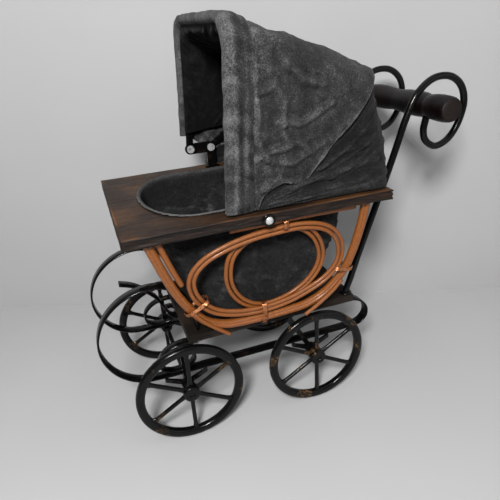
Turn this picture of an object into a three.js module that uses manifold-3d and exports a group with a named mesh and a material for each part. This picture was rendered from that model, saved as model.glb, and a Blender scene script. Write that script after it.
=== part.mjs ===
// Doll pram in millimetres: +X runs from the foot end to the push handle, +Z is up,
// z = 0 is the ground and the origin is the middle of the bounding box on the ground.
// Lengths along X are first laid out from the front edge of the top board (x = 0 there)
// and shifted to the middle of the pram at the end.
import * as THREE from 'three';
import { mergeVertices } from 'three/addons/utils/BufferGeometryUtils.js';
import Module from 'manifold-3d';

const wasm = await Module();
wasm.setup();

// ---- driving dimensions ----
const GAP = 0.35;                 // clearance between touching pieces
const FRONT_TO_MIDDLE = 161.82;   // front edge of the board to the middle of the pram

const BOARD_LENGTH = 250;
const BOARD_WIDTH = 184;
const BOARD_THICKNESS = 9;
const BOARD_TOP = 238;
const BOARD_UNDER = BOARD_TOP - BOARD_THICKNESS;
const SLOT_FRONT = 30;
const SLOT_REAR = 226;
const SLOT_HALF_WIDTH = 66;
const SLOT_END = 45;              // length of each elliptical end of the slot

const BASE_FRONT = 48;
const BASE_REAR = 232;
const BASE_HALF_WIDTH = 58;
const BASE_TOP = 112;
const BASE_THICKNESS = 8;

const LINER_THICKNESS = 2.4;
const LINER_FLANGE = 5;           // hem of the liner lying on the board

const WHEEL_RADIUS = 55;
const RIM_DEPTH = 9;
const RIM_WIDTH = 8;
const HUB_RADIUS = 8.5;
const HUB_WIDTH = 11;
const SPOKE_COUNT = 6;
const TRACK_HALF = 70;
const AXLE_X = [41.5, 181.5];
const AXLE_RADIUS = 2.5;

const STRIP_WIDTH = 12;
const STRIP_THICKNESS = 2;
const SPRING_Y = 46.7;
const LOWER_RUN_Z = 66;
const UNDER_BODY_Z = 102.5;

const POLE_RADIUS = 4.5;
const THIN_POLE_RADIUS = 2.7;
const STRAND_RADIUS = 2;
const STRAND_PITCH = 4.7;         // in-plane spacing of the two strands of an oval
const OVAL_LIFT = 2.25;           // each oval lies this far to one side of the frame plane
const FRAME_TOP_Y = 83;
const FRAME_BOTTOM_Y = 65;
const FRAME_BOTTOM_Z = 118.5;

const ROD_Y = 50.6;
const ROD_RADIUS = 3.5;
const BAR_X = 314.8;
const BAR_Z = 300.7;

const HOOD_HALF_WIDTH = 86;
const HOOD_CROWN = 157;           // above the board
const CLOTH_THICKNESS = 2.6;
const BOW_HALF_WIDTH = 81.5;
const BOW_WIDTH = 8;
const BOW_THICKNESS = 1.6;
const PIVOT_Z = BOARD_TOP + 23;
const FRONT_PIVOT_X = 101;
const MID_PIVOT_X = 124;

// ---- materials ----
const PAINTS = {
  board_wood: { color: 0x3a2415, roughness: 0.6, metalness: 0 },
  base_wood: { color: 0x2b2c26, roughness: 0.75, metalness: 0 },
  cloth: { color: 0x34353a, roughness: 0.95, metalness: 0 },
  rattan: { color: 0xb5682c, roughness: 0.5, metalness: 0 },
  black_metal: { color: 0x111112, roughness: 0.3, metalness: 0.6 },
  wheel_metal: { color: 0x14120f, roughness: 0.35, metalness: 0.7 },
  copper_wire: { color: 0xb06a3a, roughness: 0.3, metalness: 1 },
  rivet_metal: { color: 0xb8b8b8, roughness: 0.3, metalness: 1 },
  bar_wood: { color: 0x24160f, roughness: 0.45, metalness: 0 },
};

const pram = new THREE.Group();
pram.name = 'doll_pram';

function addPiece(name, geometry, paint) {
  const shifted = geometry.clone();
  shifted.translate(-FRONT_TO_MIDDLE, 0, 0);
  const material = new THREE.MeshStandardMaterial(PAINTS[paint]);
  material.name = paint;
  const mesh = new THREE.Mesh(shifted, material);
  mesh.name = name;
  pram.add(mesh);
}

// ---- solids ----
function toManifold(geometry) {
  const source = geometry.clone();
  source.deleteAttribute('normal');
  source.deleteAttribute('uv');
  const merged = mergeVertices(source, 1e-4);
  return new wasm.Manifold(new wasm.Mesh({
    numProp: 3,
    vertProperties: new Float32Array(merged.attributes.position.array),
    triVerts: new Uint32Array(merged.index.array),
  }));
}

function toGeometry(manifold) {
  const mesh = manifold.getMesh();
  const positions = new Float32Array(mesh.numVert * 3);
  for (let i = 0; i < mesh.numVert; i++) {
    for (let axis = 0; axis < 3; axis++) {
      positions[3 * i + axis] = mesh.vertProperties[mesh.numProp * i + axis];
    }
  }
  const geometry = new THREE.BufferGeometry();
  geometry.setAttribute('position', new THREE.BufferAttribute(positions, 3));
  geometry.setIndex(new THREE.BufferAttribute(new Uint32Array(mesh.triVerts), 1));
  geometry.computeVertexNormals();
  return geometry;
}

function unionOf(geometries) {
  return toGeometry(geometries.map(toManifold).reduce((sum, next) => sum.add(next)));
}

function cut(geometry, tools) {
  return toGeometry(tools.map(toManifold).reduce((rest, tool) => rest.subtract(tool),
    toManifold(geometry)));
}

function box(x0, x1, y0, y1, z0, z1) {
  const geometry = new THREE.BoxGeometry(x1 - x0, y1 - y0, z1 - z0);
  geometry.translate((x0 + x1) / 2, (y0 + y1) / 2, (z0 + z1) / 2);
  return geometry;
}

// Cylinder with its axis along Y.
function cylinderY(x, y0, y1, z, radius, segments = 20) {
  const geometry = new THREE.CylinderGeometry(radius, radius, y1 - y0, segments);
  geometry.translate(x, (y0 + y1) / 2, z);
  return geometry;
}

function cylinderZ(x, y, z0, z1, radius, segments = 16) {
  const geometry = new THREE.CylinderGeometry(radius, radius, z1 - z0, segments);
  geometry.rotateX(Math.PI / 2);
  geometry.translate(x, y, (z0 + z1) / 2);
  return geometry;
}

// Closed skin over a grid of rings: every ring is a closed loop of points.
function skinOfRings(rings, closed) {
  const size = rings[0].length;
  const positions = rings.flat().flatMap((point) => [point.x, point.y, point.z]);
  const indices = [];
  const spans = closed ? rings.length : rings.length - 1;
  for (let i = 0; i < spans; i++) {
    for (let j = 0; j < size; j++) {
      const a = i * size + j;
      const b = i * size + ((j + 1) % size);
      const c = ((i + 1) % rings.length) * size + ((j + 1) % size);
      const d = ((i + 1) % rings.length) * size + j;
      indices.push(a, b, c, a, c, d);
    }
  }
  if (!closed) {
    const last = (rings.length - 1) * size;
    for (let j = 1; j < size - 1; j++) {
      indices.push(0, j + 1, j);
      indices.push(last, last + j, last + j + 1);
    }
  }
  return outward(positions, indices);
}

// Turns the faces outward when the enclosed volume comes out negative.
function outward(positions, indices) {
  let volume = 0;
  const a = new THREE.Vector3();
  const b = new THREE.Vector3();
  const c = new THREE.Vector3();
  for (let i = 0; i < indices.length; i += 3) {
    a.fromArray(positions, 3 * indices[i]);
    b.fromArray(positions, 3 * indices[i + 1]);
    c.fromArray(positions, 3 * indices[i + 2]);
    volume += a.dot(b.cross(c));
  }
  if (volume < 0) {
    for (let i = 0; i < indices.length; i += 3) {
      [indices[i + 1], indices[i + 2]] = [indices[i + 2], indices[i + 1]];
    }
  }
  const geometry = new THREE.BufferGeometry();
  geometry.setAttribute('position', new THREE.Float32BufferAttribute(positions, 3));
  geometry.setIndex(indices);
  geometry.computeVertexNormals();
  return geometry;
}

// Round rod along a curve; `side` is a direction never parallel to the curve.
function rod(curve, radius, steps, sides, side, closed = false) {
  const rings = [];
  const count = closed ? steps : steps + 1;
  for (let i = 0; i < count; i++) {
    const t = i / steps;
    const centre = curve.getPointAt(t);
    const tangent = curve.getTangentAt(t);
    const normal = new THREE.Vector3().crossVectors(tangent, side).normalize();
    const binormal = new THREE.Vector3().crossVectors(tangent, normal).normalize();
    rings.push(Array.from({ length: sides }, (_, j) => {
      const angle = (2 * Math.PI * j) / sides;
      return centre.clone()
        .addScaledVector(normal, radius * Math.cos(angle))
        .addScaledVector(binormal, radius * Math.sin(angle));
    }));
  }
  return skinOfRings(rings, closed);
}

// Flat strip whose thickness lies in the XZ plane and whose width runs along Y.
function strip(points, y, width, thickness, steps) {
  const curve = new THREE.SplineCurve(points.map(([x, z]) => new THREE.Vector2(x, z)));
  const rings = [];
  for (let i = 0; i <= steps; i++) {
    const centre = curve.getPointAt(i / steps);
    const tangent = curve.getTangentAt(i / steps);
    const nx = (-tangent.y * thickness) / 2;
    const nz = (tangent.x * thickness) / 2;
    rings.push([
      new THREE.Vector3(centre.x + nx, y - width / 2, centre.y + nz),
      new THREE.Vector3(centre.x + nx, y + width / 2, centre.y + nz),
      new THREE.Vector3(centre.x - nx, y + width / 2, centre.y - nz),
      new THREE.Vector3(centre.x - nx, y - width / 2, centre.y - nz),
    ]);
  }
  return skinOfRings(rings, false);
}

function smooth(points, closed = false) {
  return new THREE.CatmullRomCurve3(points, closed, 'centripetal');
}

const SIDES = [['near', -1], ['far', 1]];

// ---- top board with its oval slot, base board ----
function slotOutline(grow, count) {
  const middle = (SLOT_FRONT + SLOT_REAR) / 2;
  const straight = (SLOT_REAR - SLOT_FRONT) / 2 - SLOT_END;
  return Array.from({ length: count }, (_, i) => {
    const angle = (2 * Math.PI * (i + 0.5)) / count;
    const shift = Math.cos(angle) > 0 ? straight : -straight;
    return [middle + shift + (SLOT_END + grow) * Math.cos(angle),
      (SLOT_HALF_WIDTH + grow) * Math.sin(angle)];
  });
}

function prism(outline, z0, z1) {
  const shape = new THREE.Shape(outline.map(([x, y]) => new THREE.Vector2(x, y)));
  const geometry = new THREE.ExtrudeGeometry(shape, { depth: z1 - z0, bevelEnabled: false });
  geometry.translate(0, 0, z0);
  return geometry;
}

const SLOT_POINTS = 32;
addPiece('top_board', cut(
  box(0, BOARD_LENGTH, -BOARD_WIDTH / 2, BOARD_WIDTH / 2, BOARD_UNDER, BOARD_TOP),
  [prism(slotOutline(0, SLOT_POINTS), BOARD_UNDER - 1, BOARD_TOP + 1)],
), 'board_wood');
addPiece('base_board', box(BASE_FRONT, BASE_REAR, -BASE_HALF_WIDTH, BASE_HALF_WIDTH,
  BASE_TOP - BASE_THICKNESS, BASE_TOP), 'base_wood');

// ---- cloth liner hanging through the slot ----
// Each level: [height, shrink from the slot outline in X front, in X rear, in Y].
const LINER_LEVELS = [
  [BOARD_TOP + GAP, 0, 0, 0],
  [BOARD_UNDER - 6, 1, 1, 1],
  [205, 5, 7, 3],
  [175, 13, 11, 6],
  [150, 22, 17, 9],
  [133, 30, 25, 13],
  [BASE_TOP + 6, 42, 37, 20],
];

function linerRing(level, inset) {
  const [z, front, rear, side] = level;
  const middle = (SLOT_FRONT + SLOT_REAR) / 2;
  return slotOutline(-GAP - inset, SLOT_POINTS).map(([x, y]) => {
    const reach = (x - middle) / ((SLOT_REAR - SLOT_FRONT) / 2);
    const pull = reach > 0 ? -rear * reach : -front * reach;
    return new THREE.Vector3(x + pull, y * (1 - side / SLOT_HALF_WIDTH), z);
  });
}

function linerShell() {
  const flangeTop = slotOutline(LINER_FLANGE, SLOT_POINTS);
  const ring = (outline, z) => outline.map(([x, y]) => new THREE.Vector3(x, y, z));
  const rings = [ring(flangeTop, BOARD_TOP + GAP)];
  LINER_LEVELS.forEach((level) => rings.push(linerRing(level, 0)));
  const floor = LINER_LEVELS[LINER_LEVELS.length - 1];
  rings.push(linerRing([BASE_TOP + GAP, floor[1] + 8, floor[2] + 8, floor[3] + 8], 0));
  rings.push(linerRing([BASE_TOP + GAP + LINER_THICKNESS, floor[1] + 8, floor[2] + 8,
    floor[3] + 8], LINER_THICKNESS));
  [...LINER_LEVELS].reverse().forEach(([z, front, rear, side]) => {
    rings.push(linerRing([z + (z > BOARD_TOP ? LINER_THICKNESS : 1.5), front, rear, side],
      LINER_THICKNESS));
  });
  rings.push(ring(flangeTop, BOARD_TOP + GAP + LINER_THICKNESS));
  return rings;
}

// The shell is a band of rings joined end to end, with the floor closed by two plates.
function linerGeometry() {
  const rings = linerShell();
  const size = SLOT_POINTS;
  const positions = rings.flat().flatMap((point) => [point.x, point.y, point.z]);
  const indices = [];
  const floorOuter = LINER_LEVELS.length + 1;
  for (let i = 0; i < rings.length; i++) {
    const next = (i + 1) % rings.length;
    if (i !== floorOuter) {
      for (let j = 0; j < size; j++) {
        const k = (j + 1) % size;
        indices.push(i * size + j, i * size + k, next * size + k);
        indices.push(i * size + j, next * size + k, next * size + j);
      }
    }
  }
  for (const [ringIndex, flip] of [[floorOuter, 1], [floorOuter + 1, -1]]) {
    const base = ringIndex * size;
    for (let j = 1; j < size - 1; j++) {
      const fan = flip > 0 ? [base, base + j, base + j + 1] : [base, base + j + 1, base + j];
      indices.push(...fan);
    }
  }
  return outward(positions, indices);
}

addPiece('basket_liner', linerGeometry(), 'cloth');

// ---- rattan side frames ----
// Points of a side frame are [x, z]; the frame leans in towards the bottom.
function onFrame(x, z, sign, lift) {
  const lean = (FRAME_TOP_Y - FRAME_BOTTOM_Y) / (BOARD_UNDER - FRAME_BOTTOM_Z);
  const y = FRAME_BOTTOM_Y + (z - FRAME_BOTTOM_Z) * lean + lift;
  return new THREE.Vector3(x, sign * y, z);
}

const POLE_PATH = [[21.2, 226.6], [23.5, 220], [30.8, 196.6], [41, 169.6], [53, 147.5],
  [66, 131], [84, 121.5], [120, 118.5], [155, 119], [172, 121], [190, 129], [203, 141],
  [212, 154], [220, 178], [225, 205], [226.5, 227]];
const THIN_POLE_PATH = [[29.5, 226.8], [31.8, 220.5], [38.3, 200], [46, 179]];
const TOP_RAIL_PATH = [[92, 225], [150, 225.6], [215, 225]];
const LEFT_OVAL = [[134, 219], [110, 217], [88, 212], [68, 203.5], [56, 192], [52, 180],
  [54, 166], [61.5, 152], [75, 139], [97, 130.5], [124, 127.6], [150, 130.5], [172, 138],
  [190, 147.5], [200.5, 158], [206, 172], [204, 190], [196, 203.5], [182, 213.5], [160, 219]];
const RIGHT_OVAL = [[146, 219.5], [160, 216.5], [172, 209], [182, 196], [187.5, 178],
  [184.5, 161], [174, 146], [158, 135], [141, 129.6], [126, 128.6], [111, 134], [98, 146],
  [90, 162], [88, 180], [92, 198], [104, 211], [124, 218]];

function insetLoop(points, distance) {
  const count = points.length;
  return points.map(([x, z], i) => {
    const [ax, az] = points[(i + count - 1) % count];
    const [bx, bz] = points[(i + 1) % count];
    const length = Math.hypot(bx - ax, bz - az);
    return [x + ((bz - az) / length) * distance, z - ((bx - ax) / length) * distance];
  });
}

const OUT_OF_PLANE = new THREE.Vector3(0, 1, 0);

for (const [side, sign] of SIDES) {
  const place = (points, lift) => points.map(([x, z]) => onFrame(x, z, sign, lift));
  addPiece(`frame_pole_${side}`,
    rod(smooth(place(POLE_PATH, 0)), POLE_RADIUS, 30, 8, OUT_OF_PLANE), 'rattan');
  addPiece(`frame_thin_pole_${side}`,
    rod(smooth(place(THIN_POLE_PATH, 0)), THIN_POLE_RADIUS, 9, 7, OUT_OF_PLANE), 'rattan');
  addPiece(`frame_top_rail_${side}`,
    rod(smooth(place(TOP_RAIL_PATH, 0)), THIN_POLE_RADIUS, 6, 7, OUT_OF_PLANE), 'rattan');
  const ovals = [['left', LEFT_OVAL, OVAL_LIFT, 1], ['right', RIGHT_OVAL, -OVAL_LIFT, -1]];
  for (const [oval, path, lift, turn] of ovals) {
    const strands = [['outer', path], ['inner', insetLoop(path, -turn * STRAND_PITCH)]];
    for (const [strand, points] of strands) {
      addPiece(`oval_${oval}_${strand}_${side}`,
        rod(smooth(place(points, lift), true), STRAND_RADIUS, 30, 5, OUT_OF_PLANE, true),
        'rattan');
    }
  }
}

// Loose end of a rattan strand hanging outside the rear of each frame.
const TAIL_PATH = [[206, 146], [196, 134], [182, 122], [168, 112]];
for (const [side, sign] of SIDES) {
  const points = TAIL_PATH.map(([x, z]) => onFrame(x, z, sign, POLE_RADIUS + STRAND_RADIUS + 1));
  addPiece(`rattan_tail_${side}`, rod(smooth(points), STRAND_RADIUS, 8, 6, OUT_OF_PLANE),
    'rattan');
}

// ---- copper wire ties around the main pole and the strands beside it ----
// Each tie: [name, point on the pole, direction along the pole, first and last reach across].
const TIES = [
  ['front', [52.6, 148.4], [0.5, -0.866], -6.3, 19],
  ['bottom', [124, 118.6], [1, 0], -6.3, 19.6],
];

function tieGeometry(centre, along, low, high, sign) {
  const direction = new THREE.Vector3(along[0], 0, along[1]).normalize();
  const across = new THREE.Vector3(-along[1], 0, along[0]).normalize();
  const middle = onFrame(centre[0], centre[1], sign, 0);
  const radius = POLE_RADIUS + 1.6;
  const loop = (grow) => {
    const points = [];
    for (let i = 0; i <= 8; i++) {
      const angle = Math.PI / 2 + (Math.PI * i) / 8;
      points.push([low + radius + (radius + grow) * Math.cos(angle),
        (radius + grow) * Math.sin(angle)]);
    }
    for (let i = 0; i <= 8; i++) {
      const angle = -Math.PI / 2 + (Math.PI * i) / 8;
      points.push([high - radius + (radius + grow) * Math.cos(angle),
        (radius + grow) * Math.sin(angle)]);
    }
    return points;
  };
  const place = (points, shift) => points.map(([u, v]) => {
    const world = middle.clone().addScaledVector(across, u).addScaledVector(direction, shift);
    const lean = onFrame(world.x, world.z, sign, v);
    return new THREE.Vector3(world.x, lean.y, world.z);
  });
  const inner = loop(0);
  const outer = loop(1.1);
  return skinOfRings([place(inner, -2), place(inner, 2), place(outer, 2), place(outer, -2)],
    true);
}

for (const [side, sign] of SIDES) {
  for (const [name, centre, along, low, high] of TIES) {
    addPiece(`wire_tie_${name}_${side}`, tieGeometry(centre, along, low, high, sign),
      'copper_wire');
  }
}

// ---- strap springs, one continuous strip each side ----
const SPRING_PATH = [[66, UNDER_BODY_Z], [110, UNDER_BODY_Z], [160, UNDER_BODY_Z],
  [205, UNDER_BODY_Z], [232, 101.5], [246, 96.5], [254, 86], [253.5, 75], [245, 67.5],
  [228, LOWER_RUN_Z], [180, LOWER_RUN_Z], [120, LOWER_RUN_Z], [60, LOWER_RUN_Z],
  [20, LOWER_RUN_Z], [-4, 69.5], [-22, 82], [-33, 101], [-35.3, 122], [-28, 143],
  [-13, 159], [5, 167.5], [24, 169], [40, 163], [51, 152], [57.5, 138], [59.5, 122],
  [59.5, 112.9]];
const SCROLL_PATH = [[58, 98.5], [44, 100], [28, 96], [18.5, 86], [18.5, 76], [26, 70.2],
  [38, 69.2], [49, 73], [54, 81], [50, 88], [43, 88]];

for (const [side, sign] of SIDES) {
  addPiece(`strap_spring_${side}`,
    strip(SPRING_PATH, sign * SPRING_Y, STRIP_WIDTH, STRIP_THICKNESS, 66), 'black_metal');
  addPiece(`front_scroll_${side}`,
    strip(SCROLL_PATH, sign * SPRING_Y, STRIP_WIDTH - 2, STRIP_THICKNESS, 26), 'black_metal');
}
const TONGUE_PATH = [[-5, 155], [6, 151], [18, 143], [29, 131], [36, 118], [40.5, 108],
  [46.5, 103], [56, 102.6], [78, 102.6]];
addPiece('front_tongue',
  strip(TONGUE_PATH, 0, STRIP_WIDTH, STRIP_THICKNESS, 22), 'black_metal');

// ---- axles, brackets and wheels ----
function bracket(x, sign, lean) {
  const inner = SPRING_Y + STRIP_WIDTH / 2 + GAP;
  const outer = inner + 4.5;
  const boss = cylinderY(x, inner, outer, WHEEL_RADIUS, 6.5, 24);
  const top = [x + lean, UNDER_BODY_Z - 1];
  const run = [x - top[0], WHEEL_RADIUS - top[1]];
  const length = Math.hypot(run[0], run[1]);
  const side = [(-run[1] / length) * 2.6, (run[0] / length) * 2.6];
  const bar = new THREE.Shape([
    new THREE.Vector2(top[0] + side[0], top[1] + side[1]),
    new THREE.Vector2(top[0] - side[0], top[1] - side[1]),
    new THREE.Vector2(x - side[0], WHEEL_RADIUS - side[1]),
    new THREE.Vector2(x + side[0], WHEEL_RADIUS + side[1]),
  ]);
  const brace = new THREE.Shape([
    new THREE.Vector2(x - 22, LOWER_RUN_Z + 1),
    new THREE.Vector2(x - 22, LOWER_RUN_Z - 3),
    new THREE.Vector2(x, WHEEL_RADIUS - 3),
    new THREE.Vector2(x + 22, LOWER_RUN_Z - 3),
    new THREE.Vector2(x + 22, LOWER_RUN_Z + 1),
    new THREE.Vector2(x, WHEEL_RADIUS + 3),
  ]);
  const flat = (shape) => {
    const geometry = new THREE.ExtrudeGeometry(shape, { depth: 2.6, bevelEnabled: false });
    geometry.rotateX(Math.PI / 2);
    geometry.translate(0, inner + 2.6, 0);
    return geometry;
  };
  const solid = cut(unionOf([boss, flat(bar), flat(brace)]),
    [cylinderY(x, inner - 1, outer + 1, WHEEL_RADIUS, AXLE_RADIUS + GAP, 24)]);
  if (sign < 0) {
    solid.scale(1, -1, 1);
    const index = solid.index.array;
    for (let i = 0; i < index.length; i += 3) {
      [index[i + 1], index[i + 2]] = [index[i + 2], index[i + 1]];
    }
    solid.computeVertexNormals();
  }
  return solid;
}

function wheel(x, sign) {
  const half = RIM_WIDTH / 2;
  const inner = WHEEL_RADIUS - RIM_DEPTH;
  const profile = [[inner, -half], [WHEEL_RADIUS - 2, -half], [WHEEL_RADIUS, -half + 2],
    [WHEEL_RADIUS, half - 2], [WHEEL_RADIUS - 2, half], [inner, half], [inner, -half]];
  const rim = new THREE.LatheGeometry(profile.map(([r, h]) => new THREE.Vector2(r, h)), 36);
  const parts = [rim, new THREE.CylinderGeometry(HUB_RADIUS, HUB_RADIUS, HUB_WIDTH, 20)];
  const spoke = new THREE.Shape([[5, -2.7], [22, -2.2], [38, -2.2], [inner + 2, -4.2],
    [inner + 2, 4.2], [38, 2.2], [22, 2.2], [5, 2.7]].map(([u, v]) => new THREE.Vector2(u, v)));
  for (let i = 0; i < SPOKE_COUNT; i++) {
    const geometry = new THREE.ExtrudeGeometry(spoke, { depth: 4, bevelEnabled: false });
    geometry.translate(0, 0, -2);
    geometry.rotateX(Math.PI / 2);
    geometry.rotateY(Math.PI / 2 + (2 * Math.PI * i) / SPOKE_COUNT);
    parts.push(geometry);
  }
  const bore = new THREE.CylinderGeometry(AXLE_RADIUS + GAP, AXLE_RADIUS + GAP,
    HUB_WIDTH + 2, 14);
  const solid = cut(unionOf(parts), [bore]);
  solid.translate(x, sign * TRACK_HALF, WHEEL_RADIUS);
  return solid;
}

AXLE_X.forEach((x, i) => {
  const row = ['front', 'rear'][i];
  const reach = TRACK_HALF + HUB_WIDTH / 2 - 1.2;
  addPiece(`axle_${row}`, cylinderY(x, -reach, reach, WHEEL_RADIUS, AXLE_RADIUS, 24),
    'black_metal');
  for (const [side, sign] of SIDES) {
    addPiece(`axle_bracket_${row}_${side}`, bracket(x, sign, [-1.5, -25][i]), 'black_metal');
    addPiece(`wheel_${row}_${side}`, wheel(x, sign), 'wheel_metal');
  }
});

// ---- push handle ----
const ROD_PATH = [[226.5, 113.4], [232, 128], [241, 155], [258, 202], [271.5, 240], [281, 268],
  [288.5, 291], [299, 313], [317, 326], [337, 326], [351, 316], [356.7, 299.5], [351.5, 278],
  [340.5, 264], [326, 259.5], [313.5, 267.5], [310.5, 277], [312.5, 289.2]];
for (const [side, sign] of SIDES) {
  const points = ROD_PATH.map(([x, z]) => new THREE.Vector3(x, sign * ROD_Y, z));
  const foot = cylinderZ(ROD_PATH[0][0], sign * ROD_Y, BASE_TOP + GAP, BASE_TOP + 3, 6.5);
  addPiece(`handle_rod_${side}`,
    unionOf([rod(smooth(points), ROD_RADIUS, 48, 6, OUT_OF_PLANE), foot]), 'black_metal');
}
const BAR_PROFILE = [[0, -84], [10.6, -84], [12, -82.4], [12.5, -77], [12.5, -66], [11.5, -57],
  [10.4, -51.4], [11.2, -47.4], [12.4, -38], [12.5, -26], [11.6, -12], [10.8, 0]];
const barOutline = [...BAR_PROFILE,
  ...BAR_PROFILE.slice(0, -1).reverse().map(([r, h]) => [r, -h])];
const bar = new THREE.LatheGeometry(barOutline.map(([r, h]) => new THREE.Vector2(r, h)), 16);
bar.translate(BAR_X, 0, BAR_Z);
addPiece('handle_bar', outward([...mergeVertices(bar.deleteAttribute('normal')
  .deleteAttribute('uv'), 1e-4).attributes.position.array],
[...mergeVertices(bar, 1e-4).index.array]), 'bar_wood');

// ---- folding hood: two bows on rivets, cloth in two panels ----
// Arch of a rounded rectangle: t runs 0..1 from the near foot over the crown to the far foot;
// gives [y, share of the height].
function archPoint(t, halfWidth, height, radius) {
  const leg = height - radius;
  const top = 2 * (halfWidth - radius);
  const corner = (Math.PI / 2) * radius;
  const total = 2 * leg + 2 * corner + top;
  let run = t * total;
  const mirror = run > total / 2;
  if (mirror) {
    run = total - run;
  }
  let y = -halfWidth;
  let h = Math.min(run, leg);
  if (run > leg) {
    const angle = Math.min((run - leg) / radius, Math.PI / 2);
    y = -halfWidth + radius * (1 - Math.cos(angle));
    h = leg + radius * Math.sin(angle);
    y += Math.max(0, run - leg - corner);
  }
  return [mirror ? -y : y, h / height];
}

const FRONT_EDGE = [[95, 2.6], [99, 60], [102, 110], [104, HOOD_CROWN]];
const MID_SEAM = [[118, 2.6], [125, 17], [140, 26], [170, 41], [205, 65], [225, 86], [240, 104]];
const REAR_EDGE = [[119, 2.6], [160, 2.6], [210, 2.6], [253, 2.6]];

// Cloth panel between two bent arches; `bulge` pushes the middle of the panel outward.
function panelGeometry(first, last, radii, bulge, stations, steps) {
  const paths = [first, last].map((points) => new THREE.SplineCurve(
    points.map(([x, z]) => new THREE.Vector2(x, BOARD_TOP + z))));
  const surface = (u, t) => {
    const radius = radii[0] + (radii[1] - radii[0]) * u;
    const [y, h] = archPoint(t, HOOD_HALF_WIDTH, HOOD_CROWN, radius);
    const a = paths[0].getPoint(h);
    const b = paths[1].getPoint(h);
    const swell = bulge * Math.sin(Math.PI * u) * h * h;
    return new THREE.Vector3(a.x + (b.x - a.x) * u + swell * 0.6, y,
      a.y + (b.y - a.y) * u + swell * 0.8);
  };
  const skins = [0, 1].map((layer) => {
    const grid = [];
    for (let i = 0; i <= stations; i++) {
      for (let j = 0; j <= steps; j++) {
        const u = i / stations;
        const t = j / steps;
        const point = surface(u, t);
        const du = surface(Math.min(1, u + 0.01), t).sub(surface(Math.max(0, u - 0.01), t));
        const dt = surface(u, Math.min(1, t + 0.01)).sub(surface(u, Math.max(0, t - 0.01)));
        const normal = new THREE.Vector3().crossVectors(dt, du).normalize();
        grid.push(point.addScaledVector(normal, (layer - 0.5) * CLOTH_THICKNESS));
      }
    }
    return grid;
  });
  const positions = skins.flat().flatMap((point) => [point.x, point.y, point.z]);
  const size = steps + 1;
  const offset = skins[0].length;
  const indices = [];
  const quad = (a, b, c, d) => indices.push(a, b, c, a, c, d);
  for (let i = 0; i < stations; i++) {
    for (let j = 0; j < steps; j++) {
      const a = i * size + j;
      quad(a, a + 1, a + 1 + size, a + size);
      quad(offset + a, offset + a + size, offset + a + size + 1, offset + a + 1);
    }
  }
  for (let j = 0; j < steps; j++) {
    const end = stations * size + j;
    quad(j, offset + j, offset + j + 1, j + 1);
    quad(end, end + 1, offset + end + 1, offset + end);
  }
  for (let i = 0; i < stations; i++) {
    const low = i * size;
    const high = low + steps;
    quad(low, low + size, offset + low + size, offset + low);
    quad(high, offset + high, offset + high + size, high + size);
  }
  return outward(positions, indices);
}

addPiece('hood_front_panel', panelGeometry(FRONT_EDGE, MID_SEAM, [24, 34], 4, 6, 26), 'cloth');
addPiece('hood_rear_panel', panelGeometry(MID_SEAM.map(([x, z]) => [x + 3.2, z - 0.6]),
  REAR_EDGE, [34, 18], 4, 6, 26), 'cloth');

// Bow of flat strap: an arch in the plane through its pivot line and its crown.
function bow(pivotX, crownX, crownZ, radius) {
  const height = Math.hypot(crownX - pivotX, crownZ - PIVOT_Z);
  const along = [(crownX - pivotX) / height, (crownZ - PIVOT_Z) / height];
  const steps = 28;
  const rings = [];
  for (let i = 0; i <= steps; i++) {
    const t = i / steps;
    const ring = [];
    for (const [edge, depth] of [[-1, 0], [1, 0], [1, 1], [-1, 1]]) {
      const [y, h] = archPoint(t, BOW_HALF_WIDTH - depth * BOW_THICKNESS,
        height - depth * BOW_THICKNESS, radius - depth * BOW_THICKNESS);
      const reach = h * (height - depth * BOW_THICKNESS);
      ring.push(new THREE.Vector3(
        pivotX + along[0] * reach + edge * along[1] * (BOW_WIDTH / 2), y,
        PIVOT_Z + along[1] * reach - edge * along[0] * (BOW_WIDTH / 2)));
    }
    rings.push(ring);
  }
  return skinOfRings(rings, false);
}

const RIVET_RADIUS = 2;
function bowWithEyes(pivotX, crownX, crownZ, radius) {
  const inner = BOW_HALF_WIDTH - BOW_THICKNESS;
  const eyes = SIDES.map(([, sign]) => cylinderY(pivotX, Math.min(sign * inner,
    sign * BOW_HALF_WIDTH), Math.max(sign * inner, sign * BOW_HALF_WIDTH), PIVOT_Z, 5.5, 20));
  const bores = SIDES.map(([, sign]) => cylinderY(pivotX, sign * (inner + 0.8) - 3,
    sign * (inner + 0.8) + 3, PIVOT_Z, RIVET_RADIUS + GAP, 16));
  return cut(unionOf([bow(pivotX, crownX, crownZ, radius), ...eyes]), bores);
}

const MID_CROWN = [236, BOARD_TOP + 97];
addPiece('front_bow', bowWithEyes(FRONT_PIVOT_X, 112, BOARD_TOP + 150.5, 22), 'black_metal');
addPiece('mid_bow', bowWithEyes(MID_PIVOT_X, MID_CROWN[0], MID_CROWN[1], 32), 'black_metal');

// A bracket on the board carries the mid bow; a link plate fixed to the mid bow carries the
// front bow.
const PLATE_THICKNESS = 1.8;
const LINK_FACE = BOW_HALF_WIDTH - BOW_THICKNESS - GAP;
const BRACKET_FACE = LINK_FACE - PLATE_THICKNESS - GAP;

// Span between two distances from the middle plane, on the side `sign`.
function span(a, b, sign) {
  return [Math.min(sign * a, sign * b), Math.max(sign * a, sign * b)];
}

function rivet(x, innerFace, sign) {
  const head = cylinderY(x, ...span(innerFace - 1.6, innerFace, sign), PIVOT_Z, 4.2, 16);
  const shank = cylinderY(x, ...span(innerFace - 1, BOW_HALF_WIDTH + GAP, sign), PIVOT_Z,
    RIVET_RADIUS, 14);
  return unionOf([head, shank]);
}

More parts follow.
